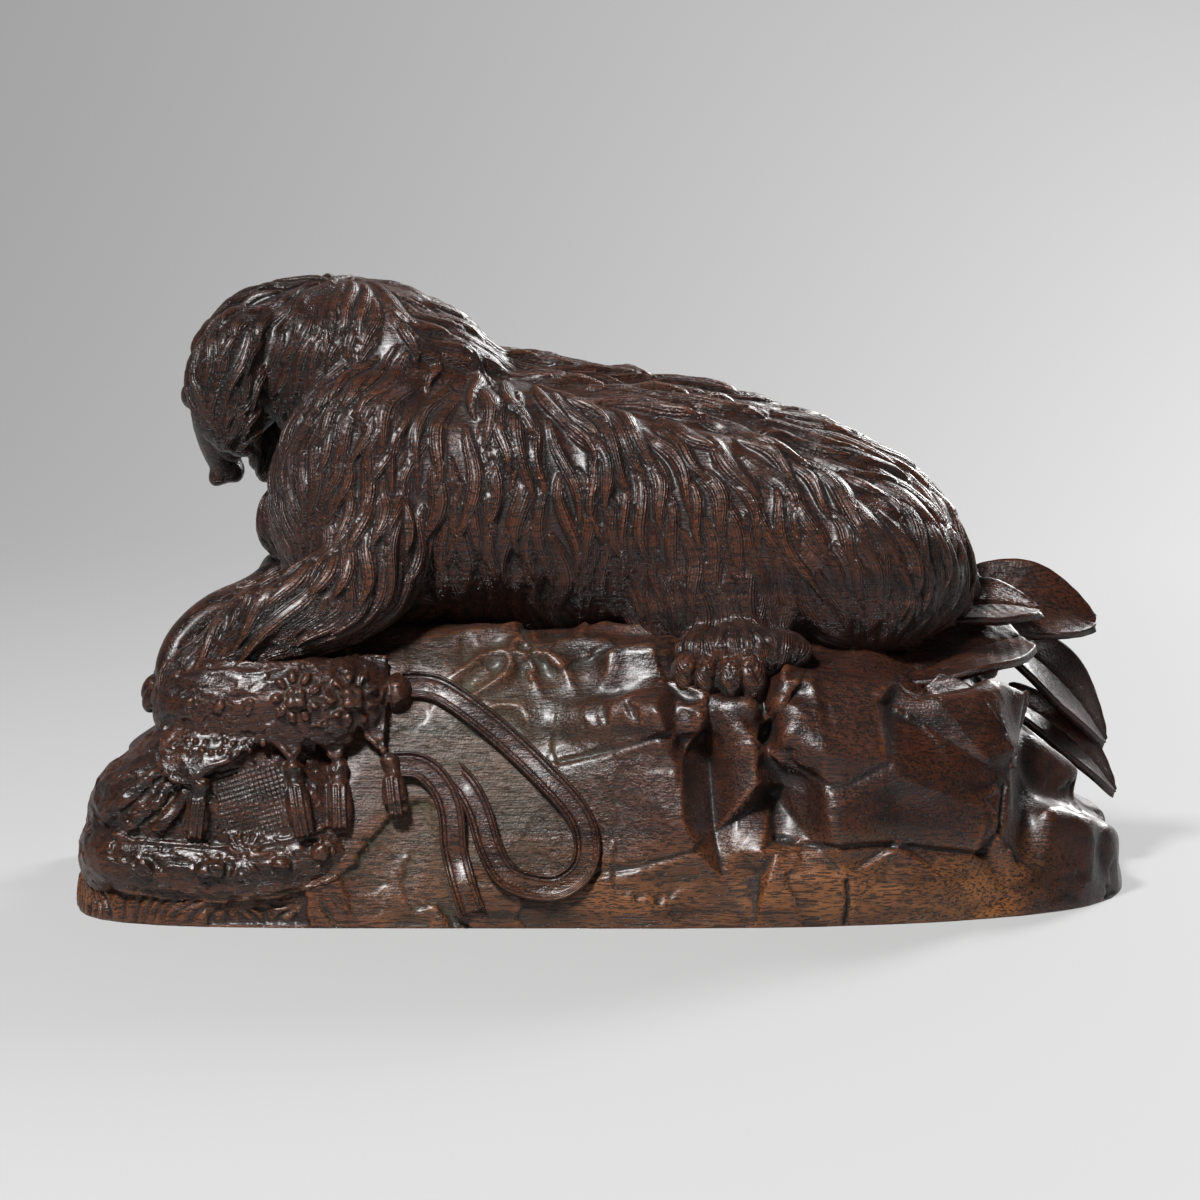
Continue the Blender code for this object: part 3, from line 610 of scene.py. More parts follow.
def lie_of_hair(points):
    """The direction of the hair at each point in space."""
    x, y, z = points.T
    total = np.zeros((len(points), 2))
    for gx, gz, dx, dz in LIE:
        weight = ((x - gx) ** 2 + (z - gz) ** 2 + LIE_REACH**2) ** -2.0
        total += weight[:, None] * (dx, dz)
    total /= np.linalg.norm(total, axis=1)[:, None]
    found = np.column_stack([total[:, 0], 0.5 * np.tanh((y - 2) / 8), total[:, 1]])
    above, along = above_parting(points)
    ridge = smoothstep(-1.0, 2.5, above) * along * fade(RIDGE_FAR - 4, RIDGE_FAR + 4, y)
    found += (ridge * 4)[:, None] * RIDGE_LIE
    tail = smoothstep(TAIL_NEAR - 3, TAIL_NEAR + 3, y) * fade(TAIL_TOP - 3, TAIL_TOP + 3, z)
    tail *= smoothstep(TAIL_START - 3, TAIL_START + 3, x)
    found += (tail * 6)[:, None] * TAIL_LIE
    return found / np.linalg.norm(found, axis=1)[:, None]


def tree_of_points(points):
    tree = KDTree(len(points))
    for i, p in enumerate(points):
        tree.insert(p, i)
    tree.balance()
    return tree


def nearest_rows(points, places, most):
    """For each point, the rows of its nearest places."""
    tree = tree_of_points(places)
    most = min(most, len(places))
    return np.array([[found[1] for found in tree.find_n(p, most)] for p in points])


# The most points that roots of locks are picked from.
PICK_FROM = 14000


def scattered(points, lie, across, along, rng):
    """A seeded pick of the points. Each keeps others off: across its lie, and further along it."""
    most = int(len(points) * min(1, PICK_FROM / len(points)))
    some = rng.permutation(len(points))[:most]
    points, lie = points[some], lie[some]
    tree = tree_of_points(points)
    taken = np.zeros(len(points), bool)
    for i, p in enumerate(points):
        rows = [found[1] for found in tree.find_range(p, along)]
        rows = [j for j in rows if taken[j]]
        gap = points[rows] - p
        run = gap @ lie[i]
        off = (gap**2).sum(axis=1) - run**2
        taken[i] = not (off / across**2 + run**2 / along**2 < 1).any()
    return points[taken]


class Locks:
    """Locks of hair traced over a skin. Each is a row of samples, and narrows to a point at its end."""

    STEP = 1.5
    SWING = 0.34
    WAVE_SIZE = 26
    NEAREST = 26
    STRAND_SHARE = 0.26
    VALLEY_WIDTH, VALLEY_DEPTH = 0.16, 0.45

    def __init__(self, tree, roots, rng, width, length, rise, line):
        self.rise, self.line = rise, line
        count = len(roots)
        steps = int(length / self.STEP)
        widths = rng.uniform(0.7, 1.25, count) * width
        lengths = rng.uniform(0.7, 1.3, count) * length
        wave = Noise(3)(roots / self.WAVE_SIZE) * 2 * math.pi + rng.uniform(-0.7, 0.7, count)
        self.place, self.flow, normal = self.traced(tree, roots, lengths / steps, wave, steps)
        self.across = np.cross(normal, self.flow)
        share = np.arange(steps + 1) / steps
        taper = np.sin(math.pi * (0.05 + 0.93 * share) ** 0.85) ** 0.8
        self.lock = np.tile(np.arange(count), steps + 1)
        self.share = np.repeat(share, count)
        self.full = np.tile(widths / 2, steps + 1)
        self.half = self.full * np.repeat(taper, count)
        self.lift = np.tile(rng.uniform(0, 0.5, count), steps + 1)
        self.reach = np.tile(1.1 * lengths / steps, steps + 1)

    def traced(self, tree, roots, strides, wave, steps):
        """The place, the way and the normal of every sample, all the locks' first ones first."""
        place = roots.copy()
        rows = []
        for k in range(steps + 1):
            normal = np.empty_like(place)
            for i, p in enumerate(place):
                place[i], normal[i], _, _ = tree.find_nearest(Vector(p))
            flow = lie_of_hair(place)
            flow -= normal * (flow * normal).sum(axis=1)[:, None]
            flow /= np.linalg.norm(flow, axis=1)[:, None] + 1e-9
            turn = (self.SWING * np.sin(2 * math.pi * 0.9 * k / steps + wave))[:, None]
            flow = flow * np.cos(turn) + np.cross(normal, flow) * np.sin(turn)
            rows.append((place.copy(), flow, normal))
            place = place + flow * strides[:, None]
        return [np.concatenate(parts) for parts in zip(*rows)]

    def heights(self, points):
        """The height of the hair over each point, and the place across the lock on top, in lines."""
        best = np.zeros(len(points))
        second = np.zeros(len(points))
        top = np.full(len(points), -1)
        strand = np.zeros(len(points))
        for n in nearest_rows(points, self.place, self.NEAREST).T:
            gap = points - self.place[n]
            along = (gap * self.flow[n]).sum(axis=1)
            u = (gap * self.across[n]).sum(axis=1) / self.half[n]
            inside = (np.abs(u) < 1) & (np.abs(along) < self.reach[n])
            u = np.clip(u, -1, 1)
            lines = np.maximum(np.round(2 * self.full[n] / self.line), 2)
            share = self.share[n] + along / self.reach[n] / 16
            height = np.where(inside, self.section(u, lines, share, self.lift[n]), 0)
            own = self.lock[n] == top
            better = height > best
            second = np.where(~own, np.where(better, best, np.maximum(second, height)), second)
            best = np.where(better, height, best)
            strand = np.where(better, lines * (u + 1) / 2, strand)
            top = np.where(better, self.lock[n], top)
        valley = np.exp(-(best - second) / self.VALLEY_WIDTH)
        return (best - self.VALLEY_DEPTH * valley) * self.rise, strand

    def section(self, u, lines, share, lift):
        """The height of a lock at u across it, from -1 to 1, and at a share of its length."""
        dome = (1 - u * u) ** 0.8
        swell = 0.35 + 0.65 * smoothstep(0, 0.6, share) - 0.3 * smoothstep(0.8, 1.0, share)
        fine = np.abs(np.sin(math.pi * lines * (u + 1) / 2)) ** 0.8
        return dome * swell + lift * dome**0.4 + self.STRAND_SHARE * (fine - 0.6) * dome


# The bare face: between the ears and in front of the brow.
FACE_FRONT, FACE_NEAR, FACE_FAR, FACE_TOP = -112.0, -2.0, 27.0, 170.0

# The dog is cut into pieces at this x, and at the collar: a place and the way to the head.
WAIST_X = 17.0
COLLAR = ((-66, 0, 150), (-0.78, 0, 0.62))

# The hair of the body, the head and the limbs: how far the roots keep apart across and along the
# hair, then a lock's width, length and rise, and the distance between the lines on it.
BODY_HAIR = ((4.2, 18), (6.0, 33, 2.0, 1.7))
HEAD_HAIR = ((3.5, 13), (4.9, 24, 1.5, 1.5))
LIMB_HAIR = ((3.0, 9), (4.2, 15, 0.9, 1.6))

SWELL_RISE, SWELL_SIZE = 1.3, (9, 9, 24)
PARTING_DEPTH, PARTING_WIDTH = 2.2, 1.8


def dog_mesh(grid):
    """The dog's body without hair."""
    bm = bmesh.new()
    for stations in (TRUNK, NECK, BACK_RIDGE, TAIL, MUZZLE, NEAR_FORELEG, FAR_FORELEG):
        add_form(bm, stations)
    for swelling in SWELLINGS:
        add_ball(bm, *swelling)
    bm = bmesh_of(remeshed(bm, SOFT_GRID, 9))
    for stations in (NEAR_EAR, FAR_EAR):
        add_form(bm, stations)
    for swelling in FACE + TOES:
        add_ball(bm, *swelling)
    return remeshed(bm, grid, 0)


def bareness(points):
    """1 where the wood is smooth: on the face and the front toes."""
    x, y, z = points.T
    bare = fade(FACE_FRONT - 3, FACE_FRONT + 3, x) * smoothstep(FACE_NEAR - 2, FACE_NEAR + 2, y)
    bare *= fade(FACE_FAR - 2, FACE_FAR + 2, y) * fade(FACE_TOP - 5, FACE_TOP + 5, z)
    for middle, radii, _ in (toe for toe in TOES if toe[0][0] < FACE_FRONT):
        gap = np.linalg.norm((points - middle) / (np.array(radii) + 1.0), axis=1)
        bare = np.maximum(bare, fade(0.9, 1.35, gap))
    return bare


def buried(points, depth):
    """True where a point is this deep inside the mound."""
    x, y, z = points.T
    rows = np.array(MOUND, float)
    middle, half_length, half_depth = (np.interp(z, rows[:, 0], rows[:, k]) for k in (1, 2, 3))
    reach = np.hypot((x - middle) / (half_length - depth), y / (half_depth - depth))
    return (reach < 1) & (z < rows[-1, 0] - depth)


def past_collar(points):
    """How far each point lies past the collar, towards the head."""
    return (points - COLLAR[0]) @ COLLAR[1]


def hair(skin, bare):
    """The height of the hair at each point, and its place across the lock that lies on top."""
    rng = np.random.default_rng(7)
    points = skin.points
    x, y, z = points.T
    tree = skin.tree()
    lie = lie_of_hair(points)
    coat = (bare < 0.4) & ~buried(points, 6)
    limb = coat & (x < -80) & (z < 104)
    head = coat & (past_collar(points) > 4)
    body = coat & ~limb & ~head
    high, strand = np.zeros(len(points)), np.zeros(len(points))
    for where, (apart, sizes) in ((body, BODY_HAIR), (head, HEAD_HAIR), (limb, LIMB_HAIR)):
        roots = scattered(points[where], lie[where], *apart, rng)
        height, place = Locks(tree, roots, rng, *sizes).heights(points)
        over = height > high
        high, strand = np.where(over, height, high), np.where(over, place, strand)
    low_flank = fade(96, 124, z - 0.12 * x) * smoothstep(-62, -50, x) * fade(88, 100, x)
    return high * (1 - 0.5 * low_flank), strand


def comb(skin):
    """Carves the hair into the skin, over low swells and with a groove along the parting."""
    points = skin.points
    bare = bareness(points)
    high, skin.marks["strand"] = hair(skin, bare)
    swells = SWELL_RISE * Noise(12)(points / SWELL_SIZE)
    above, along = above_parting(points)
    groove = PARTING_DEPTH * np.exp(-((above / PARTING_WIDTH) ** 2)) * along * fade(0, 8, points[:, 1])
    skin.raise_by(skin.averaged((high + swells - groove) * (1 - bare), 2))


def make_dog(grid):
    skin = Skin(dog_mesh(grid))
    skin.soften(14)
    comb(skin)
    # How far each point lies sunk below its surroundings; the material paints shade there.
    skin.marks["hollow"] = -skin.relief(12)
    return skin


# The front of the rock ends here, and eases into the sides.
FRONT_START, FRONT_END = -34, -44

# Where the log's end shows on the front, as x and z, and how far round it the rock is left alone.
LOG_FACE, LOG_SPREAD = (12, 65), (13, 8)

WEAR_ROUNDS = 140

# The facets of the rock, as size and slope, and how deep and how proud they may be.
LARGE_FACETS, SMALL_FACETS = (22, 0.085), (9, 0.035)
FACET_STRETCH, FACET_RISE, FACET_RANGE = (1, 1, 0.75), 1.6, (-3.2, 0.4)

# Corners of the large chisel cuts on the near side: x, z, and how far each stands out as a share
# of CUT_RISE.
CUT_RISE = 1.4
CUT_CORNERS = [
    (-32, 0, 0), (-32, 26, 0), (-32, 48, 0), (-32, 70, 0), (0, 78, 0), (34, 78, 0), (64, 78, 0),
    (96, 80, 0), (134, 0, 0), (134, 22, 0), (134, 46, 0), (134, 70, 0), (-5, 0, 0), (26, 0, 0),
    (47, 0, 0), (76, 0, 0), (109, 0, 0), (-3, 48, 0.2), (18, 56, 0.8), (29.5, 61, 1.8), (24.4, 51, 2.6),
    (24.7, 35, 2.6), (29.5, 28, 1.4), (31.6, 61, -2.6), (33.6, 47, -4.2), (34.8, 29, -3.2),
    (46.5, 58, 1.0), (47.8, 45, 1.6), (49.2, 24, 0.8), (49.7, 57, -3.2), (52.6, 40, -4.4),
    (53.4, 27, -3.2), (48.4, 17, -1.8), (68, 60, 1.6), (56.6, 43, -0.8), (68.6, 37.5, 3.0),
    (63.6, 28, -0.4), (85, 68, 1.0), (90.4, 67, -3.6), (88.4, 49, 1.4), (91.5, 46, 2.2),
    (91.7, 27, -0.4), (121, 47, -0.4), (120.4, 35, 1.6), (118, 23, 0.2), (54, 24.4, 0.8),
    (91.4, 24.2, 2.0), (115.4, 20.5, 1.8), (51, 15, 2.2), (75, 16, 2.4), (105, 15, 2.0),
    (125, 7, -1.0), (-5, 23, 0.8), (13, 24, 1.3), (28, 26, 2.0), (8, 7, 1.9), (19.4, 15.5, 0.4),
    (37, 15.5, -0.8), (42, 24, -1.4),
]

# Cracks in the rock's near side, as x and z, with the width and depth of each.
CRACKS = [
    ([(54, 27), (70, 25.5), (86, 25.5), (104, 23), (119, 21)], 0.8, 1.6),
    ([(-13, 51), (4, 55), (20, 60)], 0.9, 1.3),
    ([(-2, 18), (14, 21), (29, 25)], 1.1, 1.2),
    ([(75.5, 15), (76, 8), (75, 1)], 0.8, 1.8),
    ([(118, 21), (124, 30), (126, 42)], 1.0, 1.4),
    ([(58, 51), (72, 44), (88, 50)], 1.0, 1.0),
]

# The distance from one blade of grass to the next, and how high the blades stand.
BLADE_PITCH, BLADE_RISE = 5.0, 1.6

FOLD_SIZE, FOLD_RISE = (12, 12, 7.5), 1.7

# Where dust lies round the strap: the middle as x and z, and how far it spreads.
DUST_MIDDLE, DUST_SPREAD = (-42, 46), 34


def outline_reach(c, s):
    """How far the foot's outline reaches towards (c, s): boxy at the bag's end, round at the other."""
    power = np.where(c < 0, LEFT_SQUARENESS, RIGHT_SQUARENESS)
    return (np.abs(c) ** power + np.abs(s) ** power) ** (-1 / power)


def add_mound(bm):
    rings = []
    for z, middle, half_length, half_depth in MOUND:
        ring = []
        for turn in round_angles(96):
            c, s = math.cos(turn), math.sin(turn)
            reach = float(outline_reach(c, s))
            ring.append((middle + half_length * reach * c, half_depth * reach * s, z))
        rings.append(ring)
    loft(bm, rings)


def trim_to_plank(bm):
    """Pushes what stands out past the foot's outline back to it, as on a block sawn to size."""
    _, middle, half_length, half_depth = MOUND[1]
    for vert in bm.verts:
        c, s = (vert.co.x - middle) / half_length, vert.co.y / half_depth
        length = math.hypot(c, s)
        limit = outline_reach(c / length, s / length) if length else 1
        if length > limit:
            vert.co.x = middle + (vert.co.x - middle) * limit / length
            vert.co.y *= limit / length


def saw_level(bm):
    """Cuts off what lies below the foot, and closes the cut with a flat face."""
    everything = [*bm.verts, *bm.edges, *bm.faces]
    foot = {"plane_co": (0, 0, ORIGIN.z), "plane_no": (0, 0, -1)}
    cut = bmesh.ops.bisect_plane(bm, geom=everything, clear_outer=True, **foot)["geom_cut"]
    rim = [part for part in cut if isinstance(part, bmesh.types.BMEdge)]
    bmesh.ops.triangle_fill(bm, edges=rim, use_beauty=True)
    bmesh.ops.recalc_face_normals(bm, faces=bm.faces)


def ground_mesh(grid):
    """The mound with its blocks of rock and the cut log, sawn off level below."""
    bm = bmesh.new()
    add_mound(bm)
    for rock in ROCKS:
        add_block(bm, *rock)
    bm = bmesh_of(remeshed(bm, 1.4, 1))
    trim_to_plank(bm)
    add_tube(bm, [place for place, _ in LOG], [LOG_RADIUS * share for _, share in LOG], ROUND_SIDES)
    bm = bmesh_of(remeshed(bm, grid, 1))
    saw_level(bm)
    return mesh_from(bm, "rock")


def facets(points, rng, size, slope):
    """Shallow cuts about size across that meet in sharp edges, as a height at each point."""
    low, high = points.min(axis=0) - size, points.max(axis=0) + size
    count = int(np.prod((high - low) / size))
    seeds = rng.uniform(low, high, (count, 3))
    tilt = rng.normal(0, slope, (count, 3))
    level = rng.uniform(-0.5, 0.5, count) * size * slope
    near = nearest_rows(points, seeds, 8)
    gap = points[:, None] - seeds[near]
    cuts = level[near] + (gap * tilt[near]).sum(axis=2) + 0.9 * slope * (gap**2).sum(axis=2) / size
    return cuts.min(axis=1)


def flat_cuts(points):
    """How far the large flat cuts stand out at each point, seen in side view."""
    corners = [Vector(corner[:2]) for corner in CUT_CORNERS]
    level = CUT_RISE * np.array([corner[2] for corner in CUT_CORNERS])
    triangles = delaunay_2d_cdt(corners, [], [], 0, 1e-6)[2]
    out = np.zeros(len(points))
    for triangle in triangles:
        a, b, c = (np.array(corners[k]) for k in triangle)
        basis = np.linalg.inv(np.column_stack([b - a, c - a]))
        share = (points[:, [0, 2]] - a) @ basis.T
        inside = (share.min(axis=1) >= 0) & (share.sum(axis=1) <= 1)
        steps = level[triangle[1:]] - level[triangle[0]]
        out[inside] = level[triangle[0]] + share[inside] @ steps
    return out


def scored(points, path, width, depth):
    """The depth at each point of a groove along a path in side view."""
    gap = np.full(len(points), 1e9)
    for x, z in smooth_path(path, 12):
        gap = np.minimum(gap, (points[:, 0] - x) ** 2 + (points[:, 2] - z) ** 2)
    return depth * np.exp(-gap / width**2) * (points[:, 1] < -20)


def grass(points):
    """Short blades cut side by side along the left end of the foot, leaning this way and that."""
    x, y, z = points.T
    lean = 1.6 * Noise(9)(points / 12)
    along = x - y + (0.4 + lean) * z + 3.0 * Noise(8)(points / 11)
    blades = np.abs(np.sin(math.pi * along / BLADE_PITCH)) ** 0.6
    zone = fade(-86, -74, x) * fade(9, 12, z) * smoothstep(0.5, 2.5, z) * (y < 25)
    return zone * (BLADE_RISE * blades - 1.2)


def folds(points):
    """Low rolling ridges between rounded hollows."""
    drift = np.column_stack([Noise(seed)(points / 16) for seed in (51, 52, 53)])
    return 1 - 2 * np.abs(Noise(54)(points / FOLD_SIZE + 0.7 * drift))


def chiselled(points, near, off_log):
    """The height of the smaller cuts, the folds, the cracks and the grass at each point."""
    rng = np.random.default_rng(31)
    x, y, z = points.T
    squat = points * FACET_STRETCH
    cuts = facets(squat, rng, *LARGE_FACETS) + facets(squat, rng, *SMALL_FACETS)
    large = near * smoothstep(-30, -10, x) * fade(120, 130, x)
    cuts = np.clip(FACET_RISE * (cuts - cuts.mean()), *FACET_RANGE) * (1 - 0.7 * large)
    rough = smoothstep(52, 60, z + 0.12 * x) * smoothstep(-52, -40, x) * fade(58, 70, x) * (y < 0)
    cuts += rough * off_log * FOLD_RISE * folds(points)
    for crack in CRACKS:
        cuts -= scored(points, *crack)
    return cuts + grass(points)


def spread(points, middle, reach):
    """1 at a middle in side view, and less further off."""
    x, _, z = points.T
    return np.exp(-(((x - middle[0]) / reach[0]) ** 2) - ((z - middle[1]) / reach[1]) ** 2)


def make_ground(grid):
    """The mound, worn and then cut with the chisel, with a level foot."""
    skin = Skin(ground_mesh(grid))
    near = fade(FRONT_END, FRONT_START, skin.points[:, 1])
    off_log = 1 - near * spread(skin.points, LOG_FACE, LOG_SPREAD)
    worn = off_log * smoothstep(0, 3, skin.points[:, 2] - ORIGIN.z)
    points = skin.points + worn[:, None] * (skin.averaged(skin.points, WEAR_ROUNDS) - skin.points)
    points[:, 1] -= near * flat_cuts(points)
    skin.points = points
    cuts = skin.averaged(chiselled(points, near, off_log), 1)
    skin.raise_by(np.where(points[:, 2] < ORIGIN.z + 0.2, 0, cuts))
    skin.points[:, 2] = np.maximum(skin.points[:, 2], ORIGIN.z)
    # How far each point lies sunk below its surroundings; the material paints shade there.
    skin.marks["hollow"] = -skin.relief(16)
    film = spread(points, DUST_MIDDLE, (DUST_SPREAD, DUST_SPREAD)) * (points[:, 1] < -20)
    skin.marks["dust"] = film * (0.30 + 0.5 * smoothstep(0.0, 0.5, skin.marks["hollow"]))
    return skin


class Slope:
    """The side that faces -Y of what is carved so far, to lay things on."""

    OUTSIDE_Y, FRONT_Y = -150, -60
    TILT = Vector((0, -2, 0.6))

    def __init__(self, *trees):
        self.trees = trees

    def lay(self, x, z, lift):
        """The point on the side at x and z, lifted off it by lift."""
        found = [tree.ray_cast(Vector((x, self.OUTSIDE_Y, z)), Vector((0, 1, 0))) for tree in self.trees]
        found = [hit for hit in found if hit[0] is not None]
        if not found:
            found = [tree.find_nearest(Vector((x, self.FRONT_Y, z))) for tree in self.trees]
        place, normal, _, _ = min(found, key=lambda hit: hit[0].y)
        return place + (normal + self.TILT).normalized() * lift


def add_sheet(bm, grid, thickness):
    """A curved sheet through a grid of points, thickened on both sides."""
    sheet = bmesh.new()
    rows = [[sheet.verts.new(p) for p in line] for line in grid]
    for low, high in zip(rows, rows[1:]):
        for j in range(len(low) - 1):
            sheet.faces.new((low[j], high[j], high[j + 1], low[j + 1]))
    obj = linked("sheet", mesh_from(sheet, "sheet"))
    thick = obj.modifiers.new("thick", "SOLIDIFY")
    thick.thickness = thickness
    thick.offset = 0
    add_mesh(bm, baked(obj))


def add_flap(bm, slope):
    """The flap follows the bag's front, with a lower edge cut into points."""
    edge = np.array(FLAP_EDGE, float)
    xs = np.linspace(edge[0, 0], edge[-1, 0], 120)
    lows = np.interp(xs, edge[:, 0], edge[:, 1])
    grid = []
    for x, low in zip(xs, lows):
        heights = [low + (FLAP_TOP - low) * j / 20 for j in range(21)]
        grid.append([slope.lay(x, z, FLAP_THICKNESS / 2) for z in heights])
    add_sheet(bm, grid, FLAP_THICKNESS)


def add_tassel(bm, slope, top, bottom):
    """A tassel: a knot and a bundle that widens downwards."""
    steps = np.linspace(0, 1, 12)
    swell = np.interp(steps, (0, 0.12, 0.25, 0.35, 0.7, 1), (0.7, 1.05, 0.6, 0.95, 1.1, 0.9))
    path = [np.array(top) + (np.array(bottom) - np.array(top)) * t for t in steps]
    places = [slope.lay(x, z, TASSEL_RADIUS * 0.6) for x, z in path]
    add_tube(bm, places, TASSEL_RADIUS * swell, 16)


# The bag's ornaments, as x and z: drops and beads on the flap, flowers round studs, and a rayed
# shell on the roll.
DROPS = [(-125.7, 67.6), (-116.7, 67.6), (-108, 67.6)]
FLOWERS = [(-94, 70), (-77.5, 69)]
ROLL_STUDS = [(-140, 19.5), (-121.6, 19), (-117.6, 19.3), (-98, 21), (-86.5, 24)]
SHELL = (-109.5, 22.5)
BEADS_LEFT, BEADS_RIGHT, BEADS_LOW, BEADS_HIGH = -128, -103, 53, 64
BEAD_ROWS, BEAD_COLUMNS = 5, 9
NET_LEFT, NET_RIGHT, NET_LOW, NET_HIGH = -118, -98, 30, 50
NET_PITCH, STRAND_PITCH = 3.1, 1.7
HEM_RADIUS, ROLL_RIM_RADIUS = 1.1, 0.9


def add_ray(bm, slope, middle, degrees, near, far, radius, lift):
    """A slender petal that points away from a middle on the slope."""
    c, s = math.cos(math.radians(degrees)), math.sin(math.radians(degrees))
    steps = np.linspace(near, far, 6)
    places = [slope.lay(middle[0] + c * r, middle[1] + s * r, lift) for r in steps]
    add_tube(bm, places, radius * np.array([0.5, 0.8, 1.0, 1.1, 0.9, 0.5]))


def add_flower(bm, slope, middle, lift):
    """Four lobes with petals round them."""
    x, z = middle
    for k in range(4):
        turn = math.radians(45 + 90 * k)
        place = slope.lay(x + 1.7 * math.cos(turn), z + 1.7 * math.sin(turn), lift + 1.2)
        add_ball(bm, place, (1.9, 1.6, 1.9))
    for k in range(9):
        add_ray(bm, slope, middle, 20 + 40 * k, 4.2, 7.4, 1.2, lift + 0.4)


def add_beads(bm, slope, lift):
    """Staggered rows of beads on the flap, each a little out of line."""
    rng = random.Random(2)
    for row in range(BEAD_ROWS):
        for number in range(BEAD_COLUMNS):
            share = (number + 0.5 * (row % 2)) / BEAD_COLUMNS
            x = BEADS_LEFT + (BEADS_RIGHT - BEADS_LEFT) * share + rng.uniform(-0.5, 0.5)
            z = BEADS_LOW + (BEADS_HIGH - BEADS_LOW) * row / (BEAD_ROWS - 1) + rng.uniform(-0.5, 0.5)
            add_ball(bm, slope.lay(x, z, lift), (0.8, 0.75, 1.1), fineness=2)


def add_ornaments(bm, slope):
    lift = FLAP_THICKNESS
    for x, z in DROPS:
        add_ball(bm, slope.lay(x, z, lift), (1.5, 1.3, 2.9), (0, 12, 0))
    for middle in FLOWERS:
        add_flower(bm, slope, middle, lift)
    for x, z in ROLL_STUDS:
        add_ball(bm, slope.lay(x, z, 0.4), (2.9, 2.4, 2.9))
        for k in range(8):
            add_ray(bm, slope, (x, z), 45 * k, 3.4, 4.6, 0.55, 0.1)
    for degrees in range(12, 151, 23):
        add_ray(bm, slope, SHELL, degrees, 1.6, 7.6, 0.95, 0.35)
    for degrees in range(235, 317, 27):
        add_ray(bm, slope, SHELL, degrees, 1.6, 6.4, 0.85, 0.2)
    add_beads(bm, slope, lift)
    hem = [slope.lay(x, z, lift * 0.85) for x, z in smooth_path(FLAP_EDGE, 6)]
    add_tube(bm, hem, [HEM_RADIUS] * len(hem))
    for rise in (8.4, -8.2):
        rim = [slope.lay(x, z + rise, 0.1) for x, _, z, _, _ in smooth_path(BAG_ROLL[1:6], 12)]
        add_tube(bm, rim, [ROLL_RIM_RADIUS] * len(rim))


def bag_mesh(grid, ground_tree):
    """The bag with its roll, flap, gathers, tassels and ornaments."""
    bm = bmesh.new()
    for swelling in BAG_BODY:
        add_ball(bm, *swelling, fineness=4)
    add_form(bm, BAG_ROLL)
    bm = bmesh_of(remeshed(bm, 1.4, 4))
    slope = Slope(BVHTree.FromBMesh(bm), ground_tree)
    add_flap(bm, slope)
    for points in GATHERS:
        places = [slope.lay(x, z, 0) for x, z in smooth_path(points, 6)]
        add_tube(bm, places, [GATHER_RADIUS] * len(places))
    for top, bottom in TASSELS:
        add_tassel(bm, slope, top, bottom)
    add_ornaments(bm, slope)
    return remeshed(bm, grid, 0)


def creases(points):
    """Small flat creases all over the leather."""
    cuts = facets(points * (0.8, 1, 1.3), np.random.default_rng(51), 3.0, 0.26)
    return 0.6 * np.clip(cuts - cuts.mean(), -0.9, 0.6)


def netted(points):
    """The net below the flap: where it is, and the depth of its holes."""
    x, _, z = points.T
    where = (x > NET_LEFT) & (x < NET_RIGHT) & (z > NET_LOW) & (z < NET_HIGH)
    turn = 2 * math.pi * (x + 0.3 * z) / NET_PITCH
    cross_turn = 2 * math.pi * (z - 0.3 * x) / NET_PITCH
    return where, -0.9 * smoothstep(0.1, 0.7, np.abs(np.cos(turn) * np.cos(cross_turn)))


def make_bag(grid, ground_tree):
    """The bag, with creased leather, a net of small holes and strands in the tassels."""
    skin = Skin(bag_mesh(grid, ground_tree))
    skin.soften(2)
    x, y, z = skin.points.T
    near = y < -40
    where, holes = netted(skin.points)
    height = np.where(where & near, holes, creases(skin.points))
    for (top_x, top_z), (low_x, low_z) in TASSELS:
        along = np.clip((top_z - z) / (top_z - low_z), 0, 1)
        off = x - (top_x + (low_x - top_x) * along)
        strands = (np.abs(off) < 4) & (along > 0.3) & (along < 1) & near
        height = np.where(strands, 0.4 * np.cos(2 * math.pi * off / STRAND_PITCH), height)
    skin.raise_by(skin.averaged(height, 1))
    # How far each point lies sunk below its surroundings; the material paints shade there.
    skin.marks["hollow"] = -skin.relief(14)
    skin.marks["dust"] = 0.55 * smoothstep(0.12, 0.6, skin.marks["hollow"]) * near
    return skin


LEAF_ROWS, LEAF_COLUMNS = 50, 29
LEAF_VEINS = 9


def leaf_grid(root, tip, facing, half_width, rng):
    """Points over a broad pointed leaf, with a midrib and slanting veins."""
    start, end = Vector(root), Vector(tip)
    along = end - start
    up = (Vector(facing) - along * (Vector(facing).dot(along) / along.length_squared)).normalized()
    side = along.normalized().cross(up)
    lean = rng.uniform(-0.12, 0.12)
    grid = []
    for i in range(LEAF_ROWS + 1):
        t = i / LEAF_ROWS
        half = half_width * 1.15 * math.sin(math.pi * (0.1 + 0.88 * t) ** 0.85) ** 0.6
        bow = math.sin(math.pi * t) * 0.1 * along.length
        shift = lean * half * math.sin(math.pi * t)
        line = []
        for j in range(LEAF_COLUMNS):
            across = 2 * j / (LEAF_COLUMNS - 1) - 1
            dip = -0.16 * half * (1 - abs(across)) + 0.05 * half * math.sin(9 * t) * across
            vein = math.cos(2 * math.pi * (t * LEAF_VEINS - abs(across) * 1.6))
            rib = math.exp(-((across * half / 0.9) ** 2))
            carve = 0.09 * vein * (1 - abs(across)) ** 0.3 - 0.5 * rib + 0.5 * abs(across) ** 5
            line.append(start + along * t + side * (across * half + shift) + up * (dip + bow + carve))
        grid.append(line)
    return grid


def make_leaves():
    rng = random.Random(41)
    bm = bmesh.new()
    for leaf in LEAVES:
        add_sheet(bm, leaf_grid(*leaf, rng), LEAF_THICKNESS)
    bmesh.ops.recalc_face_normals(bm, faces=bm.faces)
    return mesh_from(bm, "leaves")


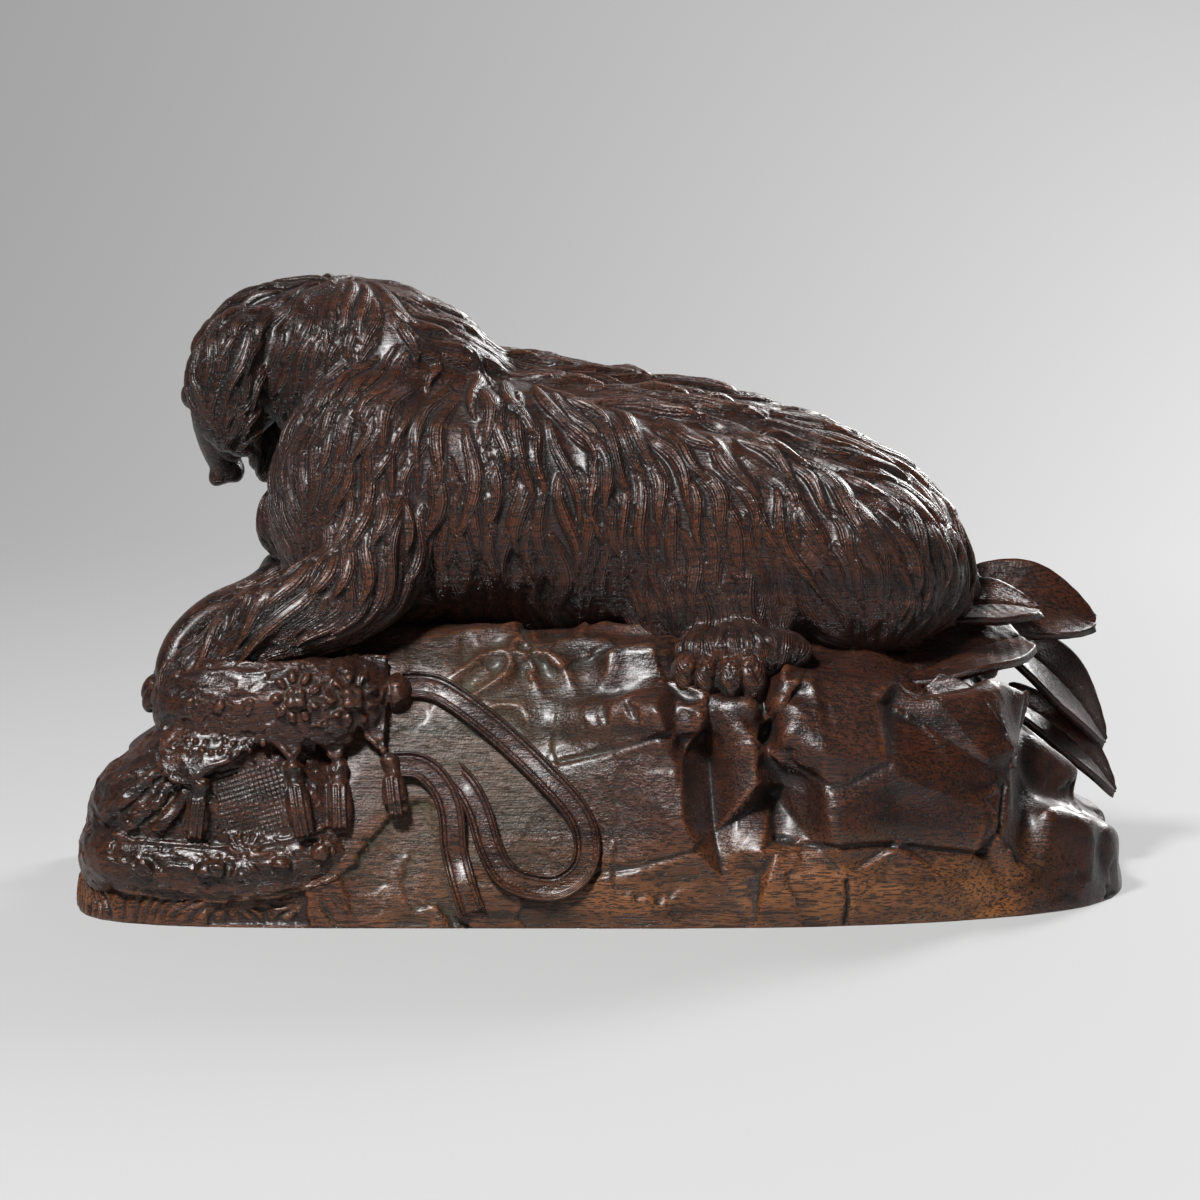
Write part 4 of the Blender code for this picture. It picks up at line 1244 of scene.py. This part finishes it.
def strap_profile():
    """Places across the strap, from -1 to 1, and how far each stands out."""
    across = np.linspace(-1, 1, 41)
    edge_line = np.exp(-(((np.abs(across) - 0.86) / 0.13) ** 2))
    inner_line = np.exp(-(((np.abs(across) - 0.56) / 0.08) ** 2))
    return across, STRAP_RIM * (edge_line + 0.4 * inner_line - 0.5 * (1 - across**2))


def add_strap(bm, slope, route, sink):
    """A strap on the slope: a hollow band with a raised line along each edge, whose end sinks in."""
    path = smooth_path(route, 10)
    lifts = np.interp(np.arange(len(path)), (0, len(path) - 12, len(path) - 1), (0, 0, -sink))
    lifts += STRAP_THICKNESS * 0.35
    places = np.array([slope.lay(x, z, lift) for (x, z), lift in zip(path, lifts)])
    for _ in range(14):
        places[1:-1] = (places[:-2] + 2 * places[1:-1] + places[2:]) / 4
    places = [Vector(p) for p in places]
    normal = Vector((0, -1, 0.35)).normalized()
    profile = list(zip(*strap_profile()))
    rings = []
    for i, place in enumerate(places):
        ahead, behind = places[min(i + 1, len(places) - 1)], places[max(i - 1, 0)]
        side = (ahead - behind).normalized().cross(normal).normalized()
        half, thick = side * STRAP_WIDTH / 2, normal * STRAP_THICKNESS / 2
        top = [place + half * float(a) + thick + normal * float(rise) for a, rise in profile]
        rings.append([place + half - thick * 3, place - half - thick * 3, *top])
    loft(bm, rings)


def make_strap(slope):
    bm = bmesh.new()
    for route, sink in ((STRAP_LOOP, 4), (STRAP_END, 0)):
        add_strap(bm, slope, route, sink)
    bmesh.ops.recalc_face_normals(bm, faces=bm.faces)
    return mesh_from(bm, "strap")


class Nodes:
    """Short ways to add shader nodes to a material."""

    def __init__(self, material):
        material.use_nodes = True
        self.tree = material.node_tree
        self.shader = self.tree.nodes["Principled BSDF"]

    def add(self, kind, values=(), **settings):
        node = self.tree.nodes.new(kind)
        for name, value in settings.items():
            setattr(node, name, value)
        for socket, value in dict(values).items():
            self.feed(node.inputs[socket], value)
        return node

    def feed(self, socket, value):
        if isinstance(value, bpy.types.NodeSocket):
            self.tree.links.new(value, socket)
        else:
            socket.default_value = value

    def feed_shader(self, values):
        for name, value in values.items():
            self.feed(self.shader.inputs[name], value)

    def place(self):
        """The place on the object, and its x, y and z."""
        place = self.add("ShaderNodeTexCoord").outputs["Object"]
        return place, self.add("ShaderNodeSeparateXYZ", {0: place}).outputs

    def math(self, operation, a, b=0.0, clamp=False):
        return self.add("ShaderNodeMath", {0: a, 1: b}, operation=operation, use_clamp=clamp).outputs[0]

    def times(self, value, *factors):
        for factor in factors:
            value = self.math("MULTIPLY", value, factor)
        return value

    def plus(self, value, *others):
        for other in others:
            value = self.math("ADD", value, other)
        return value

    def mix(self, factor, a, b):
        node = self.add("ShaderNodeMix", data_type="RGBA")
        for number, value in ((0, factor), (6, a), (7, b)):
            self.feed(node.inputs[number], value)
        return node.outputs[2]

    def span(self, value, low, high, to_low=0.0, to_high=1.0):
        """The value's part of low to high, eased, as a number from to_low to to_high."""
        values = {0: value, 1: low, 2: high, 3: to_low, 4: to_high}
        return self.add("ShaderNodeMapRange", values, interpolation_type="SMOOTHSTEP").outputs[0]

    def mark(self, name):
        return self.add("ShaderNodeAttribute", attribute_name=name).outputs["Fac"]

    def noise(self, place, scale, detail, roughness=0.55, distortion=0.0):
        values = {"Vector": place, "Scale": scale, "Detail": detail}
        values |= {"Roughness": roughness, "Distortion": distortion}
        return self.add("ShaderNodeTexNoise", values).outputs["Fac"]

    def along_grain(self, place, factors, slant, *noise):
        """Noise drawn out along the block, on a slight slant."""
        values = {"Vector": place, "Rotation": (0, slant, 0), "Scale": factors}
        drawn_out = self.add("ShaderNodeMapping", values).outputs["Vector"]
        return self.noise(drawn_out, 1.0, *noise)


# Colours of the old walnut, linear.
# The darkest brown: the pores' own colour, and also painted shade in the hollows and the darkening over
# the head.
DEEP = (0.002, 0.0009, 0.0006, 1)
DARK = (0.0075, 0.0022, 0.0010, 1)
RED = (0.042, 0.0112, 0.0044, 1)
# Lighter wood on what stands out: wear, and a painted highlight.
WORN_AND_HIGHLIGHT = (0.098, 0.030, 0.0110, 1)
GOLD = (0.20, 0.075, 0.022, 1)
DUST = (0.12, 0.095, 0.052, 1)

LINES_PER_STRAND = 2


def pores_of(nodes, place):
    """1 in the wood's dark pores and in its fine checks."""
    pores = nodes.along_grain(place, (135, 2000, 2000), 0.03, 2, 0.5)
    checks = nodes.along_grain(place, (70, 1200, 1200), 0.02, 2, 0.5)
    return nodes.math("MAXIMUM", nodes.span(pores, 0.53, 0.61), nodes.span(checks, 0.60, 0.65))


def golden_foot(nodes, x, z, patches, grain):
    """Where the wood turns a lighter gold: in patches near the ground, more so away from the bag."""
    return nodes.times(
        nodes.span(z, 0.034, 0.004),
        nodes.span(x, -0.05, 0.06, 0.35, 1.0),
        nodes.span(patches, 0.35, 0.6, 0.3, 0.9),
        nodes.span(grain, 0.36, 0.58, 0.45, 1.1),
        nodes.span(x, 0.150, 0.115),
    )


def fine_relief(nodes, place, grain, pore):
    """The surface's fine height: raised grain, sunk pores, the knife's marks and the hair's lines."""
    turns = nodes.times(nodes.mark("strand"), LINES_PER_STRAND * 2 * math.pi)
    return nodes.plus(
        nodes.times(grain, 0.25),
        nodes.times(pore, -0.55),
        nodes.times(nodes.noise(place, 420, 3), 0.40),
        nodes.times(nodes.noise(place, 1300, 2), 0.30),
        nodes.times(nodes.math("COSINE", turns), -0.16),
    )


def walnut():
    """Oiled walnut: grain and dark pores along the block, worn lighter with a painted highlight on what
    stands out, painted shade in the hollows, and darker over the head.
    """
    material = bpy.data.materials.new("walnut")
    nodes = Nodes(material)
    place, (x, _, z) = nodes.place()
    patches = nodes.noise(place, 22, 3)
    speck = nodes.noise(place, 900, 2)
    grain = nodes.along_grain(place, (9, 130, 130), 0.03, 5, 0.6, 0.6)
    pore = pores_of(nodes, place)
    hollow = nodes.mark("hollow")
    # Painted shade: the hollows are darkened below and made rougher.
    deep = nodes.span(hollow, -0.02, 0.45)
    # What stands out is lightened below, as wear and a painted highlight.
    proud = nodes.span(hollow, -0.05, -0.50)
    # The head's region is darkened.
    darker_head = nodes.times(nodes.span(x, -0.070, -0.105), nodes.span(z, 0.100, 0.130))
    dust = nodes.math("MULTIPLY", nodes.mark("dust"), nodes.span(speck, 0.35, 0.65, 0.55, 1.0), True)
    colour = nodes.mix(nodes.span(grain, 0.34, 0.68), DARK, RED)
    for amount, tint in (
        (nodes.span(patches, 0.42, 0.70, 0.0, 0.55), RED),
        # Wear and a painted highlight on what stands out.
        (nodes.times(proud, nodes.span(speck, 0.3, 0.7, 0.35, 0.85)), WORN_AND_HIGHLIGHT),
        (golden_foot(nodes, x, z, patches, grain), GOLD),
        # The head darkened.
        (nodes.times(darker_head, 0.45), DEEP),
        (nodes.times(pore, 0.8), DEEP),
        # Painted shade in the hollows.
        (nodes.times(deep, 0.85), DEEP),
        (dust, DUST),
    ):
        colour = nodes.mix(amount, colour, tint)
    rough = nodes.plus(nodes.span(patches, 0.3, 0.7, 0.32, 0.46), nodes.times(deep, 0.22))
    height = fine_relief(nodes, place, grain, pore)
    bump = nodes.add("ShaderNodeBump", {"Height": height, "Distance": 0.0007, "Strength": 0.9})
    nodes.feed_shader({
        "Base Color": colour,
        "Roughness": nodes.math("ADD", rough, nodes.times(dust, 0.4), True),
        "Coat Weight": 0.18,
        "Coat Roughness": 0.26,
        "Specular IOR Level": 0.36,
        "Normal": bump.outputs[0],
    })
    return material


# The most triangles in the whole dog, the rock and the bag.
DOG_TRIANGLES = 540000
ROCK_TRIANGLES = 185000
BAG_TRIANGLES = 160000


def finish_piece(name, mesh, material, normals=None):
    """Makes a mesh one piece of the carving, in metres and in the solid's frame."""
    mesh.transform(Matrix.Scale(MM, 4) @ Matrix.Translation(-ORIGIN))
    mesh.materials.clear()
    mesh.materials.append(material)
    mesh.shade_smooth()
    if normals is not None:
        mesh.normals_split_custom_set_from_vertices(normals)
    piece = linked(name, mesh)
    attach(piece, BODY)
    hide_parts(NODE)


def new_mesh(name, points, faces, marks):
    """A mesh whose points carry the marks."""
    mesh = bpy.data.meshes.new(name)
    mesh.from_pydata(points, [], faces)
    for mark, values in marks.items():
        layer = mesh.attributes.new(mark, "FLOAT", "POINT")
        layer.data.foreach_set("value", values.astype(np.float32))
    return mesh


def mesh_of(skin, kept=None):
    """The mesh of a skin, or of its kept points, with its marks."""
    kept = np.full(len(skin.points), True) if kept is None else kept
    index = np.cumsum(kept) - 1
    ends = np.append(skin.starts[1:], len(skin.corners))
    whole = np.logical_and.reduceat(kept[skin.corners], skin.starts)
    faces = [index[skin.corners[a:b]].tolist() for a, b in zip(skin.starts[whole], ends[whole])]
    marks = {mark: values[kept] for mark, values in skin.marks.items()}
    return new_mesh("whole", skin.points[kept], faces, marks)


def thinned(mesh, most):
    """The mesh in triangles, with at most so many, kept where the carving is fine."""
    count = sum(len(face.vertices) - 2 for face in mesh.polygons)
    obj = linked("fine", mesh)
    obj.modifiers.new("corners", "TRIANGULATE")
    if count > most:
        fewer = obj.modifiers.new("fewer", "DECIMATE")
        fewer.ratio = most / count
    return baked(obj)


def cut_apart(mesh, label):
    """The mesh in pieces by the label of each triangle's middle, and the normals of the whole."""
    points = column(mesh.vertices, "co", 3)
    normals = column(mesh.vertex_normals, "vector", 3)
    corners = column(mesh.loops, "vertex_index", 1, np.int32).reshape(-1, 3)
    marks = {}
    for layer in mesh.attributes:
        if layer.domain == "POINT" and layer.data_type == "FLOAT":
            marks[layer.name] = column(layer.data, "value")
    labels = label(points[corners].mean(axis=1).astype(float))
    pieces = {}
    for name in sorted(set(labels)):
        used, index = np.unique(corners[labels == name], return_inverse=True)
        kept_marks = {mark: values[used] for mark, values in marks.items()}
        piece = new_mesh(name, points[used], index.reshape(-1, 3).tolist(), kept_marks)
        pieces[name] = (piece, normals[used])
    return pieces


def part_of_dog(places):
    """Which piece of the dog each place is in: the head, the forehand or the hindquarters."""
    body = np.where(places[:, 0] < WAIST_X, "fore", "hind")
    return np.where(past_collar(places) > 0, "head", body)


# The stage and the camera, in metres.
FLOOR_FRONT, FLOOR_BACK, BACKDROP_TOP, BACKDROP_HALF_WIDTH = -3.0, 0.9, 3.2, 4.0
BEND_RADIUS = 0.7
LIGHT_AIM = (0, 0, 0.08)
CAMERA_AIM = Vector((-0.0012, 0, 0.0918))
CAMERA_DISTANCE = 1.4
CAMERA_LIFT = math.radians(7.5)
FRAME_WIDTH = 0.386
SENSOR_WIDTH = 36

# The sheet's grey and its glow, with what it gains to the right and on the floor: painted light in place
# of lamp light falling on the paper.
PAPER_GREY = 0.14
PAPER_GLOW, RIGHT_GLOW, FLOOR_GLOW = 0.19, 0.20, 0.14


def paper():
    """Pale paper that glows a little, more towards the right and on the floor, as painted light in place
    of lamp light on it.
    """
    material = bpy.data.materials.new("paper")
    nodes = Nodes(material)
    _, (x, y, _) = nodes.place()
    right = nodes.times(nodes.span(x, -0.7, 0.7, 0.0, RIGHT_GLOW), nodes.span(y, -0.2, 1.2))
    floor = nodes.span(y, FLOOR_BACK, -0.1, 0.0, FLOOR_GLOW)
    nodes.feed_shader({
        "Base Color": (PAPER_GREY, PAPER_GREY, PAPER_GREY, 1),
        "Roughness": 0.8,
        "Emission Color": (1, 1, 1, 1),
        "Emission Strength": nodes.plus(right, floor, PAPER_GLOW),
    })
    return material


def make_backdrop():
    """A pale sheet that runs from the floor up behind."""
    bm = bmesh.new()
    profile = [(FLOOR_FRONT, 0.0), (FLOOR_BACK, 0.0)]
    for degrees in range(6, 91, 6):
        turn = math.radians(degrees)
        height = BEND_RADIUS - BEND_RADIUS * math.cos(turn)
        profile.append((FLOOR_BACK + BEND_RADIUS * math.sin(turn), height))
    profile.append((FLOOR_BACK + BEND_RADIUS, BACKDROP_TOP))
    rows = []
    for y, z in profile:
        rows.append([bm.verts.new((x, y, z)) for x in (-BACKDROP_HALF_WIDTH, BACKDROP_HALF_WIDTH)])
    for low, high in zip(rows, rows[1:]):
        bm.faces.new((low[0], low[1], high[1], high[0]))
    sheet = linked("backdrop", mesh_from(bm, "backdrop"))
    sheet.data.shade_smooth()
    sheet.data.materials.append(paper())


def area_light(name, place, size, energy):
    data = bpy.data.lights.new(name, "AREA")
    data.shape = "RECTANGLE"
    data.size, data.size_y = size
    data.energy = energy
    lamp = linked(name, data)
    lamp.location = place
    lamp.rotation_euler = (Vector(LIGHT_AIM) - Vector(place)).to_track_quat("-Z", "Y").to_euler()


def make_lights():
    """Soft light from the upper left and from behind on the right, with a faint fill."""
    area_light("key", (-0.45, -0.85, 1.15), (0.24, 0.24), 42)
    area_light("side", (0.75, 1.05, 0.80), (0.3, 0.5), 26)
    area_light("front", (0.30, -1.4, 0.35), (0.5, 0.3), 1.5)
    world = bpy.data.worlds.new("room")
    world.use_nodes = True
    room = world.node_tree.nodes["Background"]
    room.inputs["Color"].default_value = (0.80, 0.81, 0.83, 1)
    room.inputs["Strength"].default_value = 0.04
    bpy.context.scene.world = world
    bpy.context.scene.view_settings.view_transform = "Standard"


def make_camera():
    """Level with the dog's chest, from the side that the bag is on."""
    data = bpy.data.cameras.new("camera")
    data.sensor_width = SENSOR_WIDTH
    data.lens = SENSOR_WIDTH * CAMERA_DISTANCE / FRAME_WIDTH
    camera = linked("camera", data)
    away = Vector((0, -math.cos(CAMERA_LIFT), math.sin(CAMERA_LIFT)))
    camera.location = CAMERA_AIM + away * CAMERA_DISTANCE
    camera.rotation_euler = (math.radians(90) - CAMERA_LIFT, 0, 0)
    bpy.context.scene.camera = camera


def main():
    coarse = 1.0
    material = walnut()
    ground = make_ground(ROCK_GRID * coarse)
    ground_tree = ground.tree()
    dog = make_dog(TRUNK_GRID * coarse)
    whole = thinned(mesh_of(dog, ~buried(dog.points, 4)), DOG_TRIANGLES)
    for name, (mesh, normals) in cut_apart(whole, part_of_dog).items():
        finish_piece(name, mesh, material, normals)
    finish_piece("rock", thinned(mesh_of(ground), ROCK_TRIANGLES), material)
    bag = make_bag(BAG_GRID * coarse, ground_tree)
    finish_piece("bag", thinned(mesh_of(bag, ~buried(bag.points, 3)), BAG_TRIANGLES), material)
    finish_piece("leaves", make_leaves(), material)
    finish_piece("strap", make_strap(Slope(ground_tree)), material)
    make_backdrop()
    make_lights()
    make_camera()


main()
